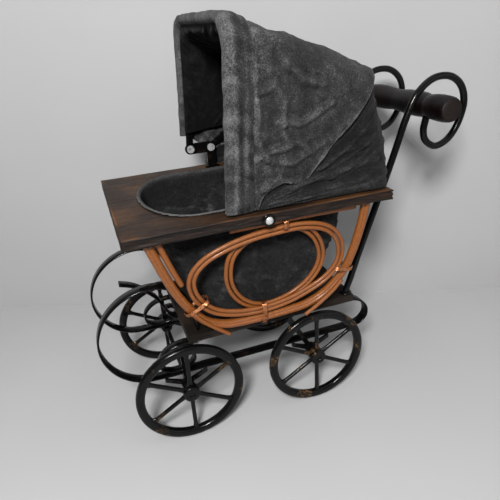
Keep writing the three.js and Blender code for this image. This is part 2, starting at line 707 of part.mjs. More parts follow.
for (const [side, sign] of SIDES) {
  const link = span(LINK_FACE - PLATE_THICKNESS, LINK_FACE, sign);
  const plate = unionOf([
    cylinderY(FRONT_PIVOT_X, ...link, PIVOT_Z, 6, 20),
    cylinderY(MID_PIVOT_X, ...link, PIVOT_Z, 6, 20),
    box(FRONT_PIVOT_X, MID_PIVOT_X, ...link, PIVOT_Z - 6, PIVOT_Z + 6),
  ]);
  const pivotBore = (x) => cylinderY(x, ...span(LINK_FACE - 8, LINK_FACE + 2, sign), PIVOT_Z,
    RIVET_RADIUS + GAP, 14);
  addPiece(`link_plate_${side}`, cut(plate, [FRONT_PIVOT_X, MID_PIVOT_X].map(pivotBore)),
    'black_metal');
  const upright = span(BRACKET_FACE - PLATE_THICKNESS, BRACKET_FACE, sign);
  const foot = span(BRACKET_FACE - 5, BRACKET_FACE, sign);
  const bracketPlate = unionOf([
    cylinderY(MID_PIVOT_X, ...upright, PIVOT_Z, 6, 20),
    box(MID_PIVOT_X - 5, MID_PIVOT_X + 5, ...upright, BOARD_TOP + GAP, PIVOT_Z),
    box(MID_PIVOT_X - 8, MID_PIVOT_X + 8, ...foot, BOARD_TOP + GAP, BOARD_TOP + 2),
  ]);
  addPiece(`bow_bracket_${side}`, cut(bracketPlate, [pivotBore(MID_PIVOT_X)]), 'black_metal');
  addPiece(`pivot_rivet_front_${side}`,
    rivet(FRONT_PIVOT_X, LINK_FACE - PLATE_THICKNESS - GAP, sign), 'rivet_metal');
  addPiece(`pivot_rivet_mid_${side}`,
    rivet(MID_PIVOT_X, BRACKET_FACE - PLATE_THICKNESS - GAP, sign), 'rivet_metal');
  const edge = BOARD_WIDTH / 2 + GAP;
  const tab = cylinderY(125, Math.min(sign * edge, sign * (edge + 1.4)),
    Math.max(sign * edge, sign * (edge + 1.4)), BOARD_TOP - 6, 6, 24);
  const screw = cylinderY(125, Math.min(sign * (edge + 1), sign * (edge + 3)),
    Math.max(sign * (edge + 1), sign * (edge + 3)), BOARD_TOP - 6, 3.6, 20);
  addPiece(`board_tab_${side}`, unionOf([tab, screw]), 'rivet_metal');
}

export default pram;
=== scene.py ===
"""Doll pram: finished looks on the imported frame.

Lengths are written in millimetres from the front edge of the top board (x), the middle plane (y)
and the ground (z), and turned into metres in the frame's own axes by `place`.
"""

import functools
from math import atan2, copysign, cos, exp, hypot, pi, radians, sin, sqrt, tau

import bmesh
import bpy
from mathutils import Matrix, Vector, noise


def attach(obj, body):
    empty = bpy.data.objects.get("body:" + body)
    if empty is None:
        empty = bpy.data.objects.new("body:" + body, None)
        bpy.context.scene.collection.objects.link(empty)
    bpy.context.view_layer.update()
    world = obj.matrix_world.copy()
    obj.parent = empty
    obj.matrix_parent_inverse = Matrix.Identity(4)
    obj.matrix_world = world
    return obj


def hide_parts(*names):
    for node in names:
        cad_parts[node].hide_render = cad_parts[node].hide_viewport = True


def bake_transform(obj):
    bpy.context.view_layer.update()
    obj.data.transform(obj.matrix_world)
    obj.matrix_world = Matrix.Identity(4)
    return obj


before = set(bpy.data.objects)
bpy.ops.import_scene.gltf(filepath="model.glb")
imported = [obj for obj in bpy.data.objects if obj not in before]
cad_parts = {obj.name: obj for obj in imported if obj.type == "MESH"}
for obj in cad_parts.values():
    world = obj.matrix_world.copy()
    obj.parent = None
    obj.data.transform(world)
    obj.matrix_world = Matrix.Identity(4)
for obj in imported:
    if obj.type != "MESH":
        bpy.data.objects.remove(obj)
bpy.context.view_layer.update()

# ---- driving dimensions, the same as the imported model's ----
MM = 0.001
FRONT_TO_MIDDLE = 161.82
BOARD_LENGTH = 250.0
BOARD_WIDTH = 184.0
BOARD_TOP = 238.0
BOARD_THICKNESS = 9.0
BOARD_UNDER = BOARD_TOP - BOARD_THICKNESS
SLOT_FRONT = 30.0
SLOT_REAR = 226.0
SLOT_MIDDLE = (SLOT_FRONT + SLOT_REAR) / 2
SLOT_HALF_WIDTH = 66.0
SLOT_END = 45.0
BASE_TOP = 112.0
WHEEL_RADIUS = 55.0
RIM_DEPTH = 9.0
RIM_WIDTH = 8.0
HUB_RADIUS = 8.5
HUB_WIDTH = 11.0
SPOKE_COUNT = 6
TRACK_HALF = 70.0
AXLE_X = {"front": 41.5, "rear": 181.5}
STRIP_WIDTH = 12.0
STRIP_THICKNESS = 2.0
SPRING_Y = 46.7
LOWER_RUN_Z = 66.0
UNDER_BODY_Z = 102.5
POLE_RADIUS = 4.5
THIN_POLE_RADIUS = 2.7
STRAND_RADIUS = 2.0
STRAND_PITCH = 4.7
OVAL_LIFT = 2.25
FRAME_TOP_Y = 83.0
FRAME_BOTTOM_Y = 65.0
FRAME_BOTTOM_Z = 118.5
ROD_Y = 50.6
ROD_RADIUS = 3.5
BAR_X = 314.8
BAR_Z = 300.7
HOOD_HALF_WIDTH = 86.0
HOOD_CROWN = 157.0
CLOTH_THICKNESS = 1.6
BOW_HALF_WIDTH = 81.5
BOW_WIDTH = 8.0
BOW_THICKNESS = 1.6
PIVOT_Z = BOARD_TOP + 23.0
FRONT_PIVOT_X = 101.0
MID_PIVOT_X = 124.0
SIDES = (("near", -1), ("far", 1))
FRAME_BODY = "frame"
MID_BODY = "mid_bow_set"
FRONT_BODY = "front_bow_set"


def place(x, y, z):
    """Millimetres from the board's front edge to metres in the frame's axes."""
    return Vector(((x - FRONT_TO_MIDDLE) * MM, y * MM, z * MM))


# ---- curves and noise ----
SPAN_STEPS = 16                   # straight steps between two points of a curve
TANGENT_STEP = 0.002
UV_LENGTH = 100.0                 # length of cane or strap along one unit of u


def rough(x, y, z):
    """Smooth noise between about -1 and 1."""
    return noise.noise(Vector((x, y, z)))


def ridge(x, y, z):
    """Sharp-crested noise between 0 and 1 for creased cloth."""
    return 1 - min(1.0, abs(rough(x, y, z)) * 2.6)


def smooth_step(low, high, value):
    share = min(max((value - low) / (high - low), 0.0), 1.0)
    return share * share * (3 - 2 * share)


def between(a, b, start, end, t):
    """Point between a at start and b at end."""
    return a * ((end - t) / (end - start)) + b * ((t - start) / (end - start))


def spline(points, closed=False):
    """A function of 0..1 that runs along a centripetal Catmull-Rom curve at even speed."""
    points = [Vector(p) for p in points]
    count = len(points)
    dense = []
    spans = count if closed else count - 1
    for i in range(spans):
        if closed:
            p0, p1, p2, p3 = (points[(i + k - 1) % count] for k in range(4))
        else:
            p1, p2 = points[i], points[i + 1]
            p0 = points[i - 1] if i > 0 else p1 * 2 - p2
            p3 = points[i + 2] if i + 2 < count else p2 * 2 - p1
        t0 = 0.0
        t1 = t0 + max((p1 - p0).length, 1e-6) ** 0.5
        t2 = t1 + max((p2 - p1).length, 1e-6) ** 0.5
        t3 = t2 + max((p3 - p2).length, 1e-6) ** 0.5
        for k in range(SPAN_STEPS):
            t = t1 + (t2 - t1) * k / SPAN_STEPS
            a1 = between(p0, p1, t0, t1, t)
            a2 = between(p1, p2, t1, t2, t)
            a3 = between(p2, p3, t2, t3, t)
            b1 = between(a1, a2, t0, t2, t)
            b2 = between(a2, a3, t1, t3, t)
            dense.append(between(b1, b2, t1, t2, t))
    dense.append(points[0].copy() if closed else points[-1].copy())
    lengths = [0.0]
    for a, b in zip(dense, dense[1:]):
        lengths.append(lengths[-1] + (b - a).length)
    total = lengths[-1]

    def at(t):
        goal = (t % 1.0 if closed else min(max(t, 0.0), 1.0)) * total
        low, high = 0, len(lengths) - 1
        while high - low > 1:
            middle = (low + high) // 2
            if lengths[middle] <= goal:
                low = middle
            else:
                high = middle
        share = (goal - lengths[low]) / max(lengths[high] - lengths[low], 1e-9)
        return dense[low].lerp(dense[high], share)

    at.length = total
    return at


# ---- mesh helpers ----
def mesh_object(name, verts, faces, material, uvs=None):
    """A named mesh piece from points in millimetres; uvs holds one pair per vertex."""
    mesh = bpy.data.meshes.new(name)
    mesh.from_pydata([place(*v) for v in verts], [], faces)
    mesh.validate()
    if uvs:
        layer = mesh.uv_layers.new(name="UVMap")
        for loop in mesh.loops:
            layer.data[loop.index].uv = uvs[loop.vertex_index]
    mesh.polygons.foreach_set("use_smooth", [True] * len(mesh.polygons))
    obj = bpy.data.objects.new(name, mesh)
    bpy.context.scene.collection.objects.link(obj)
    mesh.materials.append(material)
    return obj


def store(obj, name, values):
    """Keeps one number per vertex for the material."""
    layer = obj.data.attributes.new(name, "FLOAT", "POINT")
    layer.data.foreach_set("value", values)


def ring_faces(ring_count, size, closed):
    """Quads between rings of equal size, with the two ends filled when not closed."""
    faces = []
    for i in range(ring_count if closed else ring_count - 1):
        here, there = i * size, (i + 1) % ring_count * size
        for j in range(size):
            m = (j + 1) % size
            faces.append((here + j, here + m, there + m, there + j))
    if not closed:
        last = (ring_count - 1) * size
        faces.append(tuple(reversed(range(size))))
        faces.append(tuple(range(last, last + size)))
    return faces


def fix_normals(obj, weld=False):
    """Turns all faces outward; weld first merges points that coincide."""
    work = bmesh.new()
    work.from_mesh(obj.data)
    if weld:
        bmesh.ops.remove_doubles(work, verts=work.verts, dist=1e-6)
    bmesh.ops.recalc_face_normals(work, faces=work.faces)
    work.to_mesh(obj.data)
    work.free()


def tangent_at(at, t, closed=False):
    """Direction of a curve at t."""
    after = t + TANGENT_STEP if closed else min(t + TANGENT_STEP, 1)
    before = t - TANGENT_STEP if closed else max(t - TANGENT_STEP, 0)
    return (at(after) - at(before)).normalized()


def tube(name, points, radius, material, steps, sides, closed=False, side=(0, 1, 0)):
    """Tube on the frame's body; radius is a number or a function of along and around."""
    at = spline(points, closed)
    rings, uvs = [], []
    count = steps if closed else steps + 1
    for i in range(count):
        t = i / steps
        centre = at(t)
        tangent = tangent_at(at, t, closed)
        normal = tangent.cross(Vector(side)).normalized()
        other = tangent.cross(normal).normalized()
        for j in range(sides):
            angle = tau * j / sides
            r = radius(t, j / sides) if callable(radius) else radius
            rings.append(centre + normal * (r * cos(angle)) + other * (r * sin(angle)))
            uvs.append((t * at.length / UV_LENGTH, j / sides))
    obj = mesh_object(name, rings, ring_faces(count, sides, closed), material, uvs)
    fix_normals(obj)
    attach(obj, FRAME_BODY)
    return obj


def bevel(obj, width, segments=2):
    modifier = obj.modifiers.new("soft_edges", "BEVEL")
    modifier.width = width * MM
    modifier.segments = segments
    modifier.limit_method = "ANGLE"
    modifier.angle_limit = radians(35)


def strip(name, points, y, width, steps):
    """Flat strap along a curve in the XZ plane, its width along Y, with softened edges."""
    at = spline([(x, 0, z) for x, z in points])
    soft = STRIP_THICKNESS * 0.35
    w, h = width / 2, STRIP_THICKNESS / 2
    outline = [(-w + soft, h), (w - soft, h), (w, h - soft), (w, -h + soft),
               (w - soft, -h), (-w + soft, -h), (-w, -h + soft), (-w, h - soft)]
    verts, uvs = [], []
    for i in range(steps + 1):
        t = i / steps
        centre, tangent = at(t), tangent_at(at, t)
        normal = Vector((-tangent.z, 0, tangent.x))
        for k, (u, v) in enumerate(outline):
            verts.append(centre + normal * v + Vector((0, y + u, 0)))
            uvs.append((t * at.length / UV_LENGTH, k / len(outline)))
    obj = mesh_object(name, verts, ring_faces(steps + 1, len(outline), False), ENAMEL,
                      uvs)
    fix_normals(obj)
    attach(obj, FRAME_BODY)
    return obj


def lathe(name, profile, centre, axis, material, segments, closed=False):
    """Turned solid: profile pairs (radius, height) about an axis through centre."""
    verts, uvs = [], []
    tilt = Vector((0, 0, 1)).rotation_difference(Vector(axis))
    for i in range(segments):
        angle = tau * i / segments
        for k, (r, h) in enumerate(profile):
            local = Vector((r * cos(angle), r * sin(angle), h))
            verts.append(Vector(centre) + tilt @ local)
            uvs.append((i / segments, k / len(profile)))
    size = len(profile)
    faces = []
    for i in range(segments):
        n = (i + 1) % segments
        for k in range(size if closed else size - 1):
            m = (k + 1) % size
            faces.append((i * size + k, n * size + k, n * size + m, i * size + m))
    obj = mesh_object(name, verts, faces, material, uvs)
    fix_normals(obj, weld=True)
    return obj


def join(name, objects, body):
    """One mesh from several; the first keeps its materials' order."""
    for obj in bpy.context.selected_objects:
        obj.select_set(False)
    with bpy.context.temp_override(active_object=objects[0], object=objects[0],
                                   selected_objects=objects,
                                   selected_editable_objects=objects):
        bpy.ops.object.join()
    objects[0].name = name
    objects[0].data.name = name
    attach(objects[0], body)
    return objects[0]


# ---- materials ----
class Paint:
    """A material's node tree with short helpers."""

    def __init__(self, name):
        self.material = bpy.data.materials.new(name)
        self.material.use_nodes = True
        self.nodes = self.material.node_tree.nodes
        self.links = self.material.node_tree.links
        self.shader = self.nodes["Principled BSDF"]

    def set(self, **values):
        for key, value in values.items():
            self.shader.inputs[key.replace("_", " ")].default_value = value
        return self

    def node(self, kind, *numbered, **named):
        """A shader node whose inputs are linked to outputs or set to numbers and colours."""
        node = self.nodes.new("ShaderNode" + kind)
        for key, value in [*enumerate(numbered), *named.items()]:
            if isinstance(value, bpy.types.NodeSocket):
                self.links.new(value, node.inputs[key])
            else:
                node.inputs[key].default_value = value
        return node

    def coordinates(self, output, scale):
        source = self.node("TexCoord").outputs[output]
        return self.node("Mapping", Vector=source, Scale=scale).outputs["Vector"]

    def uv(self, scale):
        return self.coordinates("UV", scale)

    def rest(self, scale=(1, 1, 1)):
        return self.coordinates("Object", scale)

    def attribute(self, name):
        node = self.node("Attribute")
        node.attribute_name = name
        return node.outputs["Fac"]

    def noise(self, vector, scale, detail, roughness, distortion=0.0):
        node = self.node("TexNoise", Vector=vector, Scale=scale, Detail=detail,
                         Roughness=roughness, Distortion=distortion)
        return node.outputs["Fac"]

    def ramp(self, factor, *stops):
        """Each stop is a position and a colour, or a number for a grey tone."""
        node = self.node("ValToRGB", Fac=factor)
        ramp = node.color_ramp
        while len(ramp.elements) < len(stops):
            ramp.elements.new(0.5)
        for element, (position, colour) in zip(ramp.elements, stops):
            element.position = position
            element.color = (*colour, 1) if isinstance(colour, tuple) else (colour,) * 3 + (1,)
        return node.outputs["Color"]

    def mix(self, factor, a, b):
        node = self.node("Mix")
        node.data_type = "RGBA"
        for key, value in (("Factor", factor), ("A", a), ("B", b)):
            if isinstance(value, bpy.types.NodeSocket):
                self.links.new(value, node.inputs[key])
            else:
                node.inputs[key].default_value = (*value, 1)
        return next(s for s in node.outputs if s.type == "RGBA")

    def sum(self, a, b):
        return self.maths("ADD", a, b)

    def product(self, a, b):
        return self.maths("MULTIPLY", a, b)

    def maths(self, operation, a, b):
        node = self.node("Math", a, b)
        node.operation = operation
        return node.outputs["Value"]

    def bump(self, height, distance, strength):
        node = self.node("Bump", Height=height, Distance=distance * MM, Strength=strength)
        self.links.new(node.outputs["Normal"], self.shader.inputs["Normal"])

    def colour(self, output):
        self.links.new(output, self.shader.inputs["Base Color"])

    def rough(self, output):
        self.links.new(output, self.shader.inputs["Roughness"])


def black_enamel(name, bronze):
    """Glossy black paint; bronze is how much rubbed brown shows through."""
    paint = Paint(name).set(Specular_IOR_Level=0.22)
    patches = paint.noise(paint.rest(), 48, 5, 0.6)
    streaks = paint.noise(paint.rest(), 420, 3, 0.6)
    worn = paint.product(paint.ramp(patches, (0.56, 0), (0.68, 1)),
                         paint.ramp(streaks, (0.45, 0), (0.62, 1)))
    worn = paint.product(worn, bronze)
    base = paint.mix(patches, (0.0012, 0.0012, 0.0013), (0.0035, 0.0034, 0.0033))
    paint.colour(paint.mix(worn, base, (0.16, 0.085, 0.03)))
    paint.rough(paint.ramp(streaks, (0.3, 0.1), (0.75, 0.26)))
    paint.bump(streaks, 0.05, 0.2)
    return paint.material


def stained_wood(name, dark, middle, light, gloss=0.5):
    """Stained wood with grain along X; `bark` runs from a clean face to a split rough edge."""
    paint = Paint(name).set(Specular_IOR_Level=0.25)
    fibres = paint.noise(paint.rest((1.2, 12, 12)), 26, 8, 0.65, 0.4)
    fine = paint.noise(paint.rest((6, 90, 90)), 18, 4, 0.6)
    clouds = paint.noise(paint.rest((2, 3, 3)), 9, 4, 0.55)
    tone = paint.ramp(fibres, (0.32, dark), (0.54, middle), (0.78, light))
    tone = paint.mix(paint.ramp(fine, (0.4, 0.0), (0.65, 0.6)), tone, dark)
    tone = paint.mix(paint.ramp(clouds, (0.42, 0.0), (0.72, 0.7)), tone, light)
    edge = paint.attribute("bark")
    rubbed = paint.product(paint.ramp(edge, (0.02, 0), (0.2, 1), (0.4, 0)),
                           paint.ramp(clouds, (0.46, 0.0), (0.62, 0.9)))
    tone = paint.mix(rubbed, tone, (0.17, 0.065, 0.018))
    split = paint.ramp(fibres, (0.42, (0.003, 0.002, 0.0015)), (0.78, (0.03, 0.014, 0.008)))
    paint.colour(paint.mix(paint.ramp(edge, (0.4, 0), (0.6, 1)), tone, split))
    paint.rough(paint.ramp(fine, (0.3, gloss - 0.1), (0.8, gloss + 0.2)))
    paint.bump(paint.sum(fibres, fine), 0.45, 0.7)
    return paint.material


def worn_velveteen(name, dark, mean, light):
    """Short-pile cotton; the mesh carries how worn each point is, plus a painted edge highlight on
    the hood's front panel.
    """
    paint = Paint(name).set(Sheen_Weight=0.04, Sheen_Roughness=0.5, Specular_IOR_Level=0.08)
    wear_and_edge_highlight = paint.attribute("wear_and_edge_highlight")
    lint = paint.noise(paint.rest(), 850, 3, 0.8)
    mottle = paint.noise(paint.rest(), 150, 6, 0.75)
    cloudy = paint.noise(paint.rest(), 24, 4, 0.6)
    amount = paint.sum(paint.product(mottle, 0.22), paint.product(cloudy, 0.16))
    amount = paint.sum(amount, paint.product(wear_and_edge_highlight, 0.5))
    amount = paint.sum(amount, paint.product(lint, 0.62))
    paint.colour(paint.ramp(amount, (0.4, dark), (0.58, mean), (0.92, light)))
    paint.rough(paint.ramp(mottle, (0.2, 0.85), (0.8, 1.0)))
    height = paint.sum(lint, paint.product(mottle, 1.6))
    paint.bump(height, 0.5, 0.8)
    return paint.material


def cane(name):
    """Varnished rattan: fibres and dark pores run along the cane."""
    paint = Paint(name).set(Coat_Weight=0.25, Coat_Roughness=0.2, Specular_IOR_Level=0.35)
    fibres = paint.noise(paint.uv((5, 14, 1)), 6, 6, 0.6, 0.2)
    pores = paint.noise(paint.uv((20, 60, 1)), 6, 3, 0.6)
    patches = paint.noise(paint.rest(), 28, 4, 0.5)
    tone = paint.ramp(fibres, (0.3, (0.075, 0.02, 0.0035)), (0.5, (0.21, 0.062, 0.01)),
                      (0.76, (0.4, 0.14, 0.028)))
    tone = paint.mix(paint.ramp(pores, (0.28, 0.85), (0.42, 0.0)), tone, (0.07, 0.02, 0.004))
    tone = paint.mix(paint.ramp(patches, (0.45, 0.0), (0.75, 0.5)), tone, (0.2, 0.06, 0.012))
    paint.colour(tone)
    paint.rough(paint.ramp(fibres, (0.2, 0.3), (0.8, 0.48)))
    paint.bump(paint.sum(fibres, pores), 0.3, 0.6)
    return paint.material


def bare_metal(name, bright, dull, metallic=1.0):
    """Slightly scratched metal."""
    paint = Paint(name).set(Metallic=metallic)
    marks = paint.noise(paint.rest(), 260, 4, 0.6)
    paint.colour(paint.ramp(marks, (0.35, dull), (0.65, bright)))
    paint.rough(paint.ramp(marks, (0.3, 0.2), (0.75, 0.42)))
    paint.bump(marks, 0.08, 0.4)
    return paint.material


BOARD = stained_wood("board_wood_look", (0.004, 0.0024, 0.0015), (0.024, 0.0105, 0.0045),
                     (0.095, 0.04, 0.013))
BASE = stained_wood("base_wood_look", (0.002, 0.0014, 0.001), (0.008, 0.005, 0.0033),
                    (0.03, 0.018, 0.011), gloss=0.6)
CLOTH = worn_velveteen("cloth_look", 0.004, 0.026, 0.2)
REAR_CLOTH = worn_velveteen("rear_cloth_look", 0.002, 0.013, 0.1)
LINING = worn_velveteen("lining_look", 0.0025, 0.018, 0.14)
RATTAN = cane("rattan_look")
ENAMEL = black_enamel("black_enamel_look", 0.12)
WHEEL_ENAMEL = black_enamel("wheel_enamel_look", 0.8)
COPPER = bare_metal("copper_look", (0.72, 0.33, 0.16), (0.36, 0.13, 0.05))
STEEL = bare_metal("steel_look", (0.6, 0.6, 0.6), (0.36, 0.36, 0.36), metallic=0.5)
BAR_STAIN = stained_wood("bar_stain_look", (0.0006, 0.0005, 0.0005), (0.0014, 0.0009, 0.0008),
                         (0.006, 0.002, 0.0014), gloss=0.3)
BAR_END = stained_wood("bar_end_look", (0.001, 0.0006, 0.0005), (0.0045, 0.002, 0.0014),
                       (0.016, 0.006, 0.004), gloss=0.7)


def ride_node(name, material):
    """Gives a CAD node that stays its finished material."""
    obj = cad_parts[name]
    obj.data.materials.clear()
    obj.data.materials.append(material)
    return obj


# ---- wooden boards ----
def slot_radius(angle, grow=0.0):
    """Distance from the slot's centre to its edge in a direction."""
    straight = (SLOT_REAR - SLOT_FRONT) / 2 - SLOT_END
    a, b = SLOT_END + grow, SLOT_HALF_WIDTH + grow
    c, s = abs(cos(angle)), abs(sin(angle))
    flat = b / s if s > 1e-6 else 1e9
    if flat * c <= straight:
        return flat
    qa = (c / a) ** 2 + (s / b) ** 2
    qb = -2 * c * straight / a ** 2
    qc = (straight / a) ** 2 - 1
    return (-qb + sqrt(max(qb * qb - 4 * qa * qc, 0))) / (2 * qa)


def bark(point):
    """Depth of the rough sawn edge at a point, in millimetres."""
    long = rough(point.x * 0.035, point.y * 0.035, point.z * 0.55 + 4.0)
    fine = rough(point.x * 0.12, point.y * 0.12, point.z * 1.4 + 4.0)
    return 1.1 * abs(long) * 2 + 0.7 * abs(fine)


def top_board():
    """Board with an oval slot; its outer edge is rough, like split bark."""
    centre = Vector((SLOT_MIDDLE, 0, 0))
    corners = [(0, -1), (BOARD_LENGTH, -1), (BOARD_LENGTH, 1), (0, 1)]
    corners = [Vector((x, y * BOARD_WIDTH / 2, 0)) for x, y in corners]
    outline = []
    for a, b in zip(corners, corners[1:] + corners[:1]):
        count = round((b - a).length / 2.4)
        outline += [a.lerp(b, i / count) for i in range(count)]
    slot_edge = []
    for point in outline:
        angle = atan2(point.y - centre.y, point.x - centre.x)
        slot_edge.append(centre + Vector((cos(angle), sin(angle), 0)) * slot_radius(angle))
    rings, worn = [], []
    top_rows, side_rows = 12, 10
    for row in range(top_rows):
        share = row / (top_rows - 1)
        for inner, outer in zip(slot_edge, outline):
            point = inner.lerp(outer, share ** 0.8)
            wave = 0.25 * rough(point.x * 0.02, point.y * 0.12, 1.0)
            lower = 0.5 if row == top_rows - 1 else 0.0
            rings.append(Vector((point.x, point.y, BOARD_TOP + wave - lower)))
            worn.append(max(0.0, share - 0.93) * 8)
    for row in range(1, side_rows):
        share = row / (side_rows - 1)
        z = BOARD_TOP - 0.5 - share * (BOARD_THICKNESS - 0.5)
        for outer in outline:
            inward = centre - outer
            depth = bark(Vector((outer.x, outer.y, z)))
            depth *= sin(pi * min(1, share * 1.1)) ** 0.5 + 0.25
            sag = 1.2 * rough(outer.x * 0.05, outer.y * 0.05, 7.0) * share
            rings.append(outer + inward.normalized() * depth + Vector((0, 0, z - sag)))
            worn.append(0.55 + 0.45 * min(1, depth / 1.6))
    for row in range(4):
        share = 1 - row / 3
        for inner, outer in zip(slot_edge, outline):
            point = inner.lerp(outer, share * 0.985)
            rings.append(Vector((point.x, point.y, BOARD_UNDER)))
            worn.append(0.2)
    size = len(outline)
    count = len(rings) // size
    obj = mesh_object("top_board_wood", rings, ring_faces(count, size, True), BOARD)
    store(obj, "bark", worn)
    fix_normals(obj)
    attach(obj, FRAME_BODY)
    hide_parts("top_board")


# ---- cloth basket ----
LINER_LEVELS = ((BOARD_TOP + 0.2, 0, 0, 0), (BOARD_UNDER - 3, 1, 0, 1), (222, 1, -7, 1),
                (205, 4, -6, 2), (185, 10, -1, 4), (170, 15, 5, 7), (150, 22, 14, 9),
                (133, 29, 23, 12), (BASE_TOP + 6, 38, 34, 17))


def liner_level(z):
    """Shrink of the basket at a height: (front, rear, side)."""
    for (z1, *low), (z0, *high) in zip(LINER_LEVELS, LINER_LEVELS[1:]):
        if z >= z0:
            share = (z1 - z) / (z1 - z0)
            return [a + (b - a) * max(0.0, share) for a, b in zip(low, high)]
    return list(LINER_LEVELS[-1][1:])


def liner_point(angle, z):
    """Point of the unfolded bag in a direction from the slot's middle."""
    front, rear, side = liner_level(z)
    r = slot_radius(angle, -0.95)
    x, y = r * cos(angle), r * sin(angle)
    reach = x / ((SLOT_REAR - SLOT_FRONT) / 2)
    return Vector((SLOT_MIDDLE + x - (rear if reach > 0 else front) * reach,
                   y * (1 - side / SLOT_HALF_WIDTH), z))


def liner_fold(angle, z):
    """Soft folds and sharp slanting creases of the hanging cloth, in millimetres."""
    depth = min(1.0, max(0.0, (BOARD_UNDER - z) / 30.0))
    c, s = cos(angle), sin(angle)
    folds = rough(c * 3.6, s * 3.6, z * 0.02)
    slant = Vector((c * 2.4 + z * 0.012, s * 2.4, z * 0.05))
    crease = ridge(*slant) ** 3 + 0.7 * ridge(*(slant * 1.9 + Vector((4, 1, 2)))) ** 3
    wrinkle = ridge(c * 6 + z * 0.03, s * 6, z * 0.1) ** 3
    small = rough(c * 11, s * 11, z * 0.09)
    return depth * (2.4 * folds + 2.6 * crease + 1.5 * wrinkle + 0.9 * small - 1.4) + 0.3 * small


BASKET_COLUMNS = 300
BASKET_HEM_ROWS = 5
BASKET_WALL_ROWS = 60
BASKET_FLOOR_ROWS = 9
BASKET_FLOOR = BASE_TOP + 1.6
BASKET_RIM = BOARD_TOP + 0.8


def basket_vertex(kind, share, column):
    """Point of the bag and how worn it is; share runs along the rows of each kind."""
    angle = tau * column / BASKET_COLUMNS
    if kind == "hem":
        ragged = 0.8 + 0.45 * rough(column * 0.55, 2.0, 5.0)
        ragged += 0.25 * rough(column * 2.3, 9.0, 1.0)
        r = slot_radius(angle, 3.2 * share * ragged)
        lift = 0.9 + 0.9 * sin(pi * min(1, share)) + 0.3 * rough(column * 0.3, share * 3, 0)
        return Vector((SLOT_MIDDLE + r * cos(angle), r * sin(angle),
                       BOARD_TOP + lift)), 0.2 + 0.35 * share
    if kind == "wall":
        z = BASKET_RIM - share * (BASKET_RIM - BASKET_FLOOR)
        fold = liner_fold(angle, z)
        outward = Vector((cos(angle), sin(angle), 0)) * min(fold, 2.6) * min(1, share * 3)
        worn = 0.07 * max(0.0, fold) + 0.3 * max(0.0, 0.05 - share) / 0.05
        return liner_point(angle, z) + outward, worn
    point = liner_point(angle, BASKET_FLOOR).lerp(Vector((SLOT_MIDDLE - 2, 0, BASKET_FLOOR)),
                                                  share)
    point.z = BASKET_FLOOR + 0.8 * rough(*(point * 0.05))
    return point, 0.1


def cloth_basket():
    """Hanging bag with a frayed hem turned out over the slot's edge."""
    rows = [("hem", 1 - row / BASKET_HEM_ROWS) for row in range(BASKET_HEM_ROWS)]
    rows += [("wall", row / BASKET_WALL_ROWS) for row in range(BASKET_WALL_ROWS + 1)]
    rows += [("floor", row / BASKET_FLOOR_ROWS) for row in range(1, BASKET_FLOOR_ROWS)]
    found = [basket_vertex(*row, column) for row in rows for column in range(BASKET_COLUMNS)]
    faces = []
    for row in range(len(rows) - 1):
        for column in range(BASKET_COLUMNS):
            following = (column + 1) % BASKET_COLUMNS
            near, far = row * BASKET_COLUMNS, (row + 1) * BASKET_COLUMNS
            faces.append((near + column, near + following, far + following, far + column))
    faces.append(tuple((len(rows) - 1) * BASKET_COLUMNS + c for c in range(BASKET_COLUMNS)))
    obj = mesh_object("basket_cloth", [point for point, _ in found], faces, LINING)
    store(obj, "wear_and_edge_highlight", [min(1.0, max(0.0, worn)) for _, worn in found])
    solid = obj.modifiers.new("cloth_thickness", "SOLIDIFY")
    solid.thickness = 1.2 * MM
    solid.offset = -1
    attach(obj, FRAME_BODY)
    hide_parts("basket_liner")
    return obj


# ---- rattan side frames ----
def on_frame(x, z, sign, lift=0.0):
    """Point of a side frame's leaning plane; lift moves it outward."""
    lean = (FRAME_TOP_Y - FRAME_BOTTOM_Y) / (BOARD_UNDER - FRAME_BOTTOM_Z)
    return Vector((x, sign * (FRAME_BOTTOM_Y + (z - FRAME_BOTTOM_Z) * lean + lift), z))


POLE_PATH = ((20.4, 229.2), (23.5, 220), (30.8, 196.6), (41, 169.6), (53, 147.5), (66, 131),
             (84, 121.5), (120, 118.5), (155, 119), (172, 121), (190, 129), (203, 141),
             (212, 154), (220, 178), (225, 205), (226.8, 229.2))
THIN_POLE_PATH = ((28.9, 229), (31.8, 220.5), (38.3, 200), (46, 179))
TOP_RAIL_PATH = ((92, 225), (150, 225.6), (215, 225))
LEFT_OVAL = ((134, 219), (110, 217), (88, 212), (68, 203.5), (56, 192), (52, 180), (54, 166),
             (61.5, 152), (75, 139), (97, 130.5), (124, 127.6), (150, 130.5), (172, 138),
             (190, 147.5), (200.5, 158), (206, 172), (204, 190), (196, 203.5), (182, 213.5),
             (160, 219))
RIGHT_OVAL = ((146, 219.5), (160, 216.5), (172, 209), (182, 196), (187.5, 178), (184.5, 161),
              (174, 146), (158, 135), (141, 129.6), (126, 128.6), (111, 134), (98, 146),
              (90, 162), (88, 180), (92, 198), (104, 211), (124, 218))
TAIL_PATH = ((206, 146), (196, 134), (182, 122), (168, 112))
FRONT_TAIL_PATH = ((54, 146), (62, 135), (72, 124.5), (87, 111))


def inset_loop(points, distance):
    """The loop moved sideways by a distance in its own plane."""
    count = len(points)
    moved = []
    for i, (x, z) in enumerate(points):
        ax, az = points[i - 1]
        bx, bz = points[(i + 1) % count]
        length = hypot(bx - ax, bz - az)
        moved.append((x + (bz - az) / length * distance, z - (bx - ax) / length * distance))
    return moved


def cane_radius(radius, seed, grooves=0):
    """Slightly uneven cane; grooves split it lengthwise into canes bound side by side."""
    def at(t, around):
        swell = 0.05 * rough(t * 14, around * 2, seed)
        split = abs(cos(pi * grooves * (around + 0.12 * t))) ** 14 if grooves else 0
        return radius * (1 + swell - 0.2 * split)
    return at


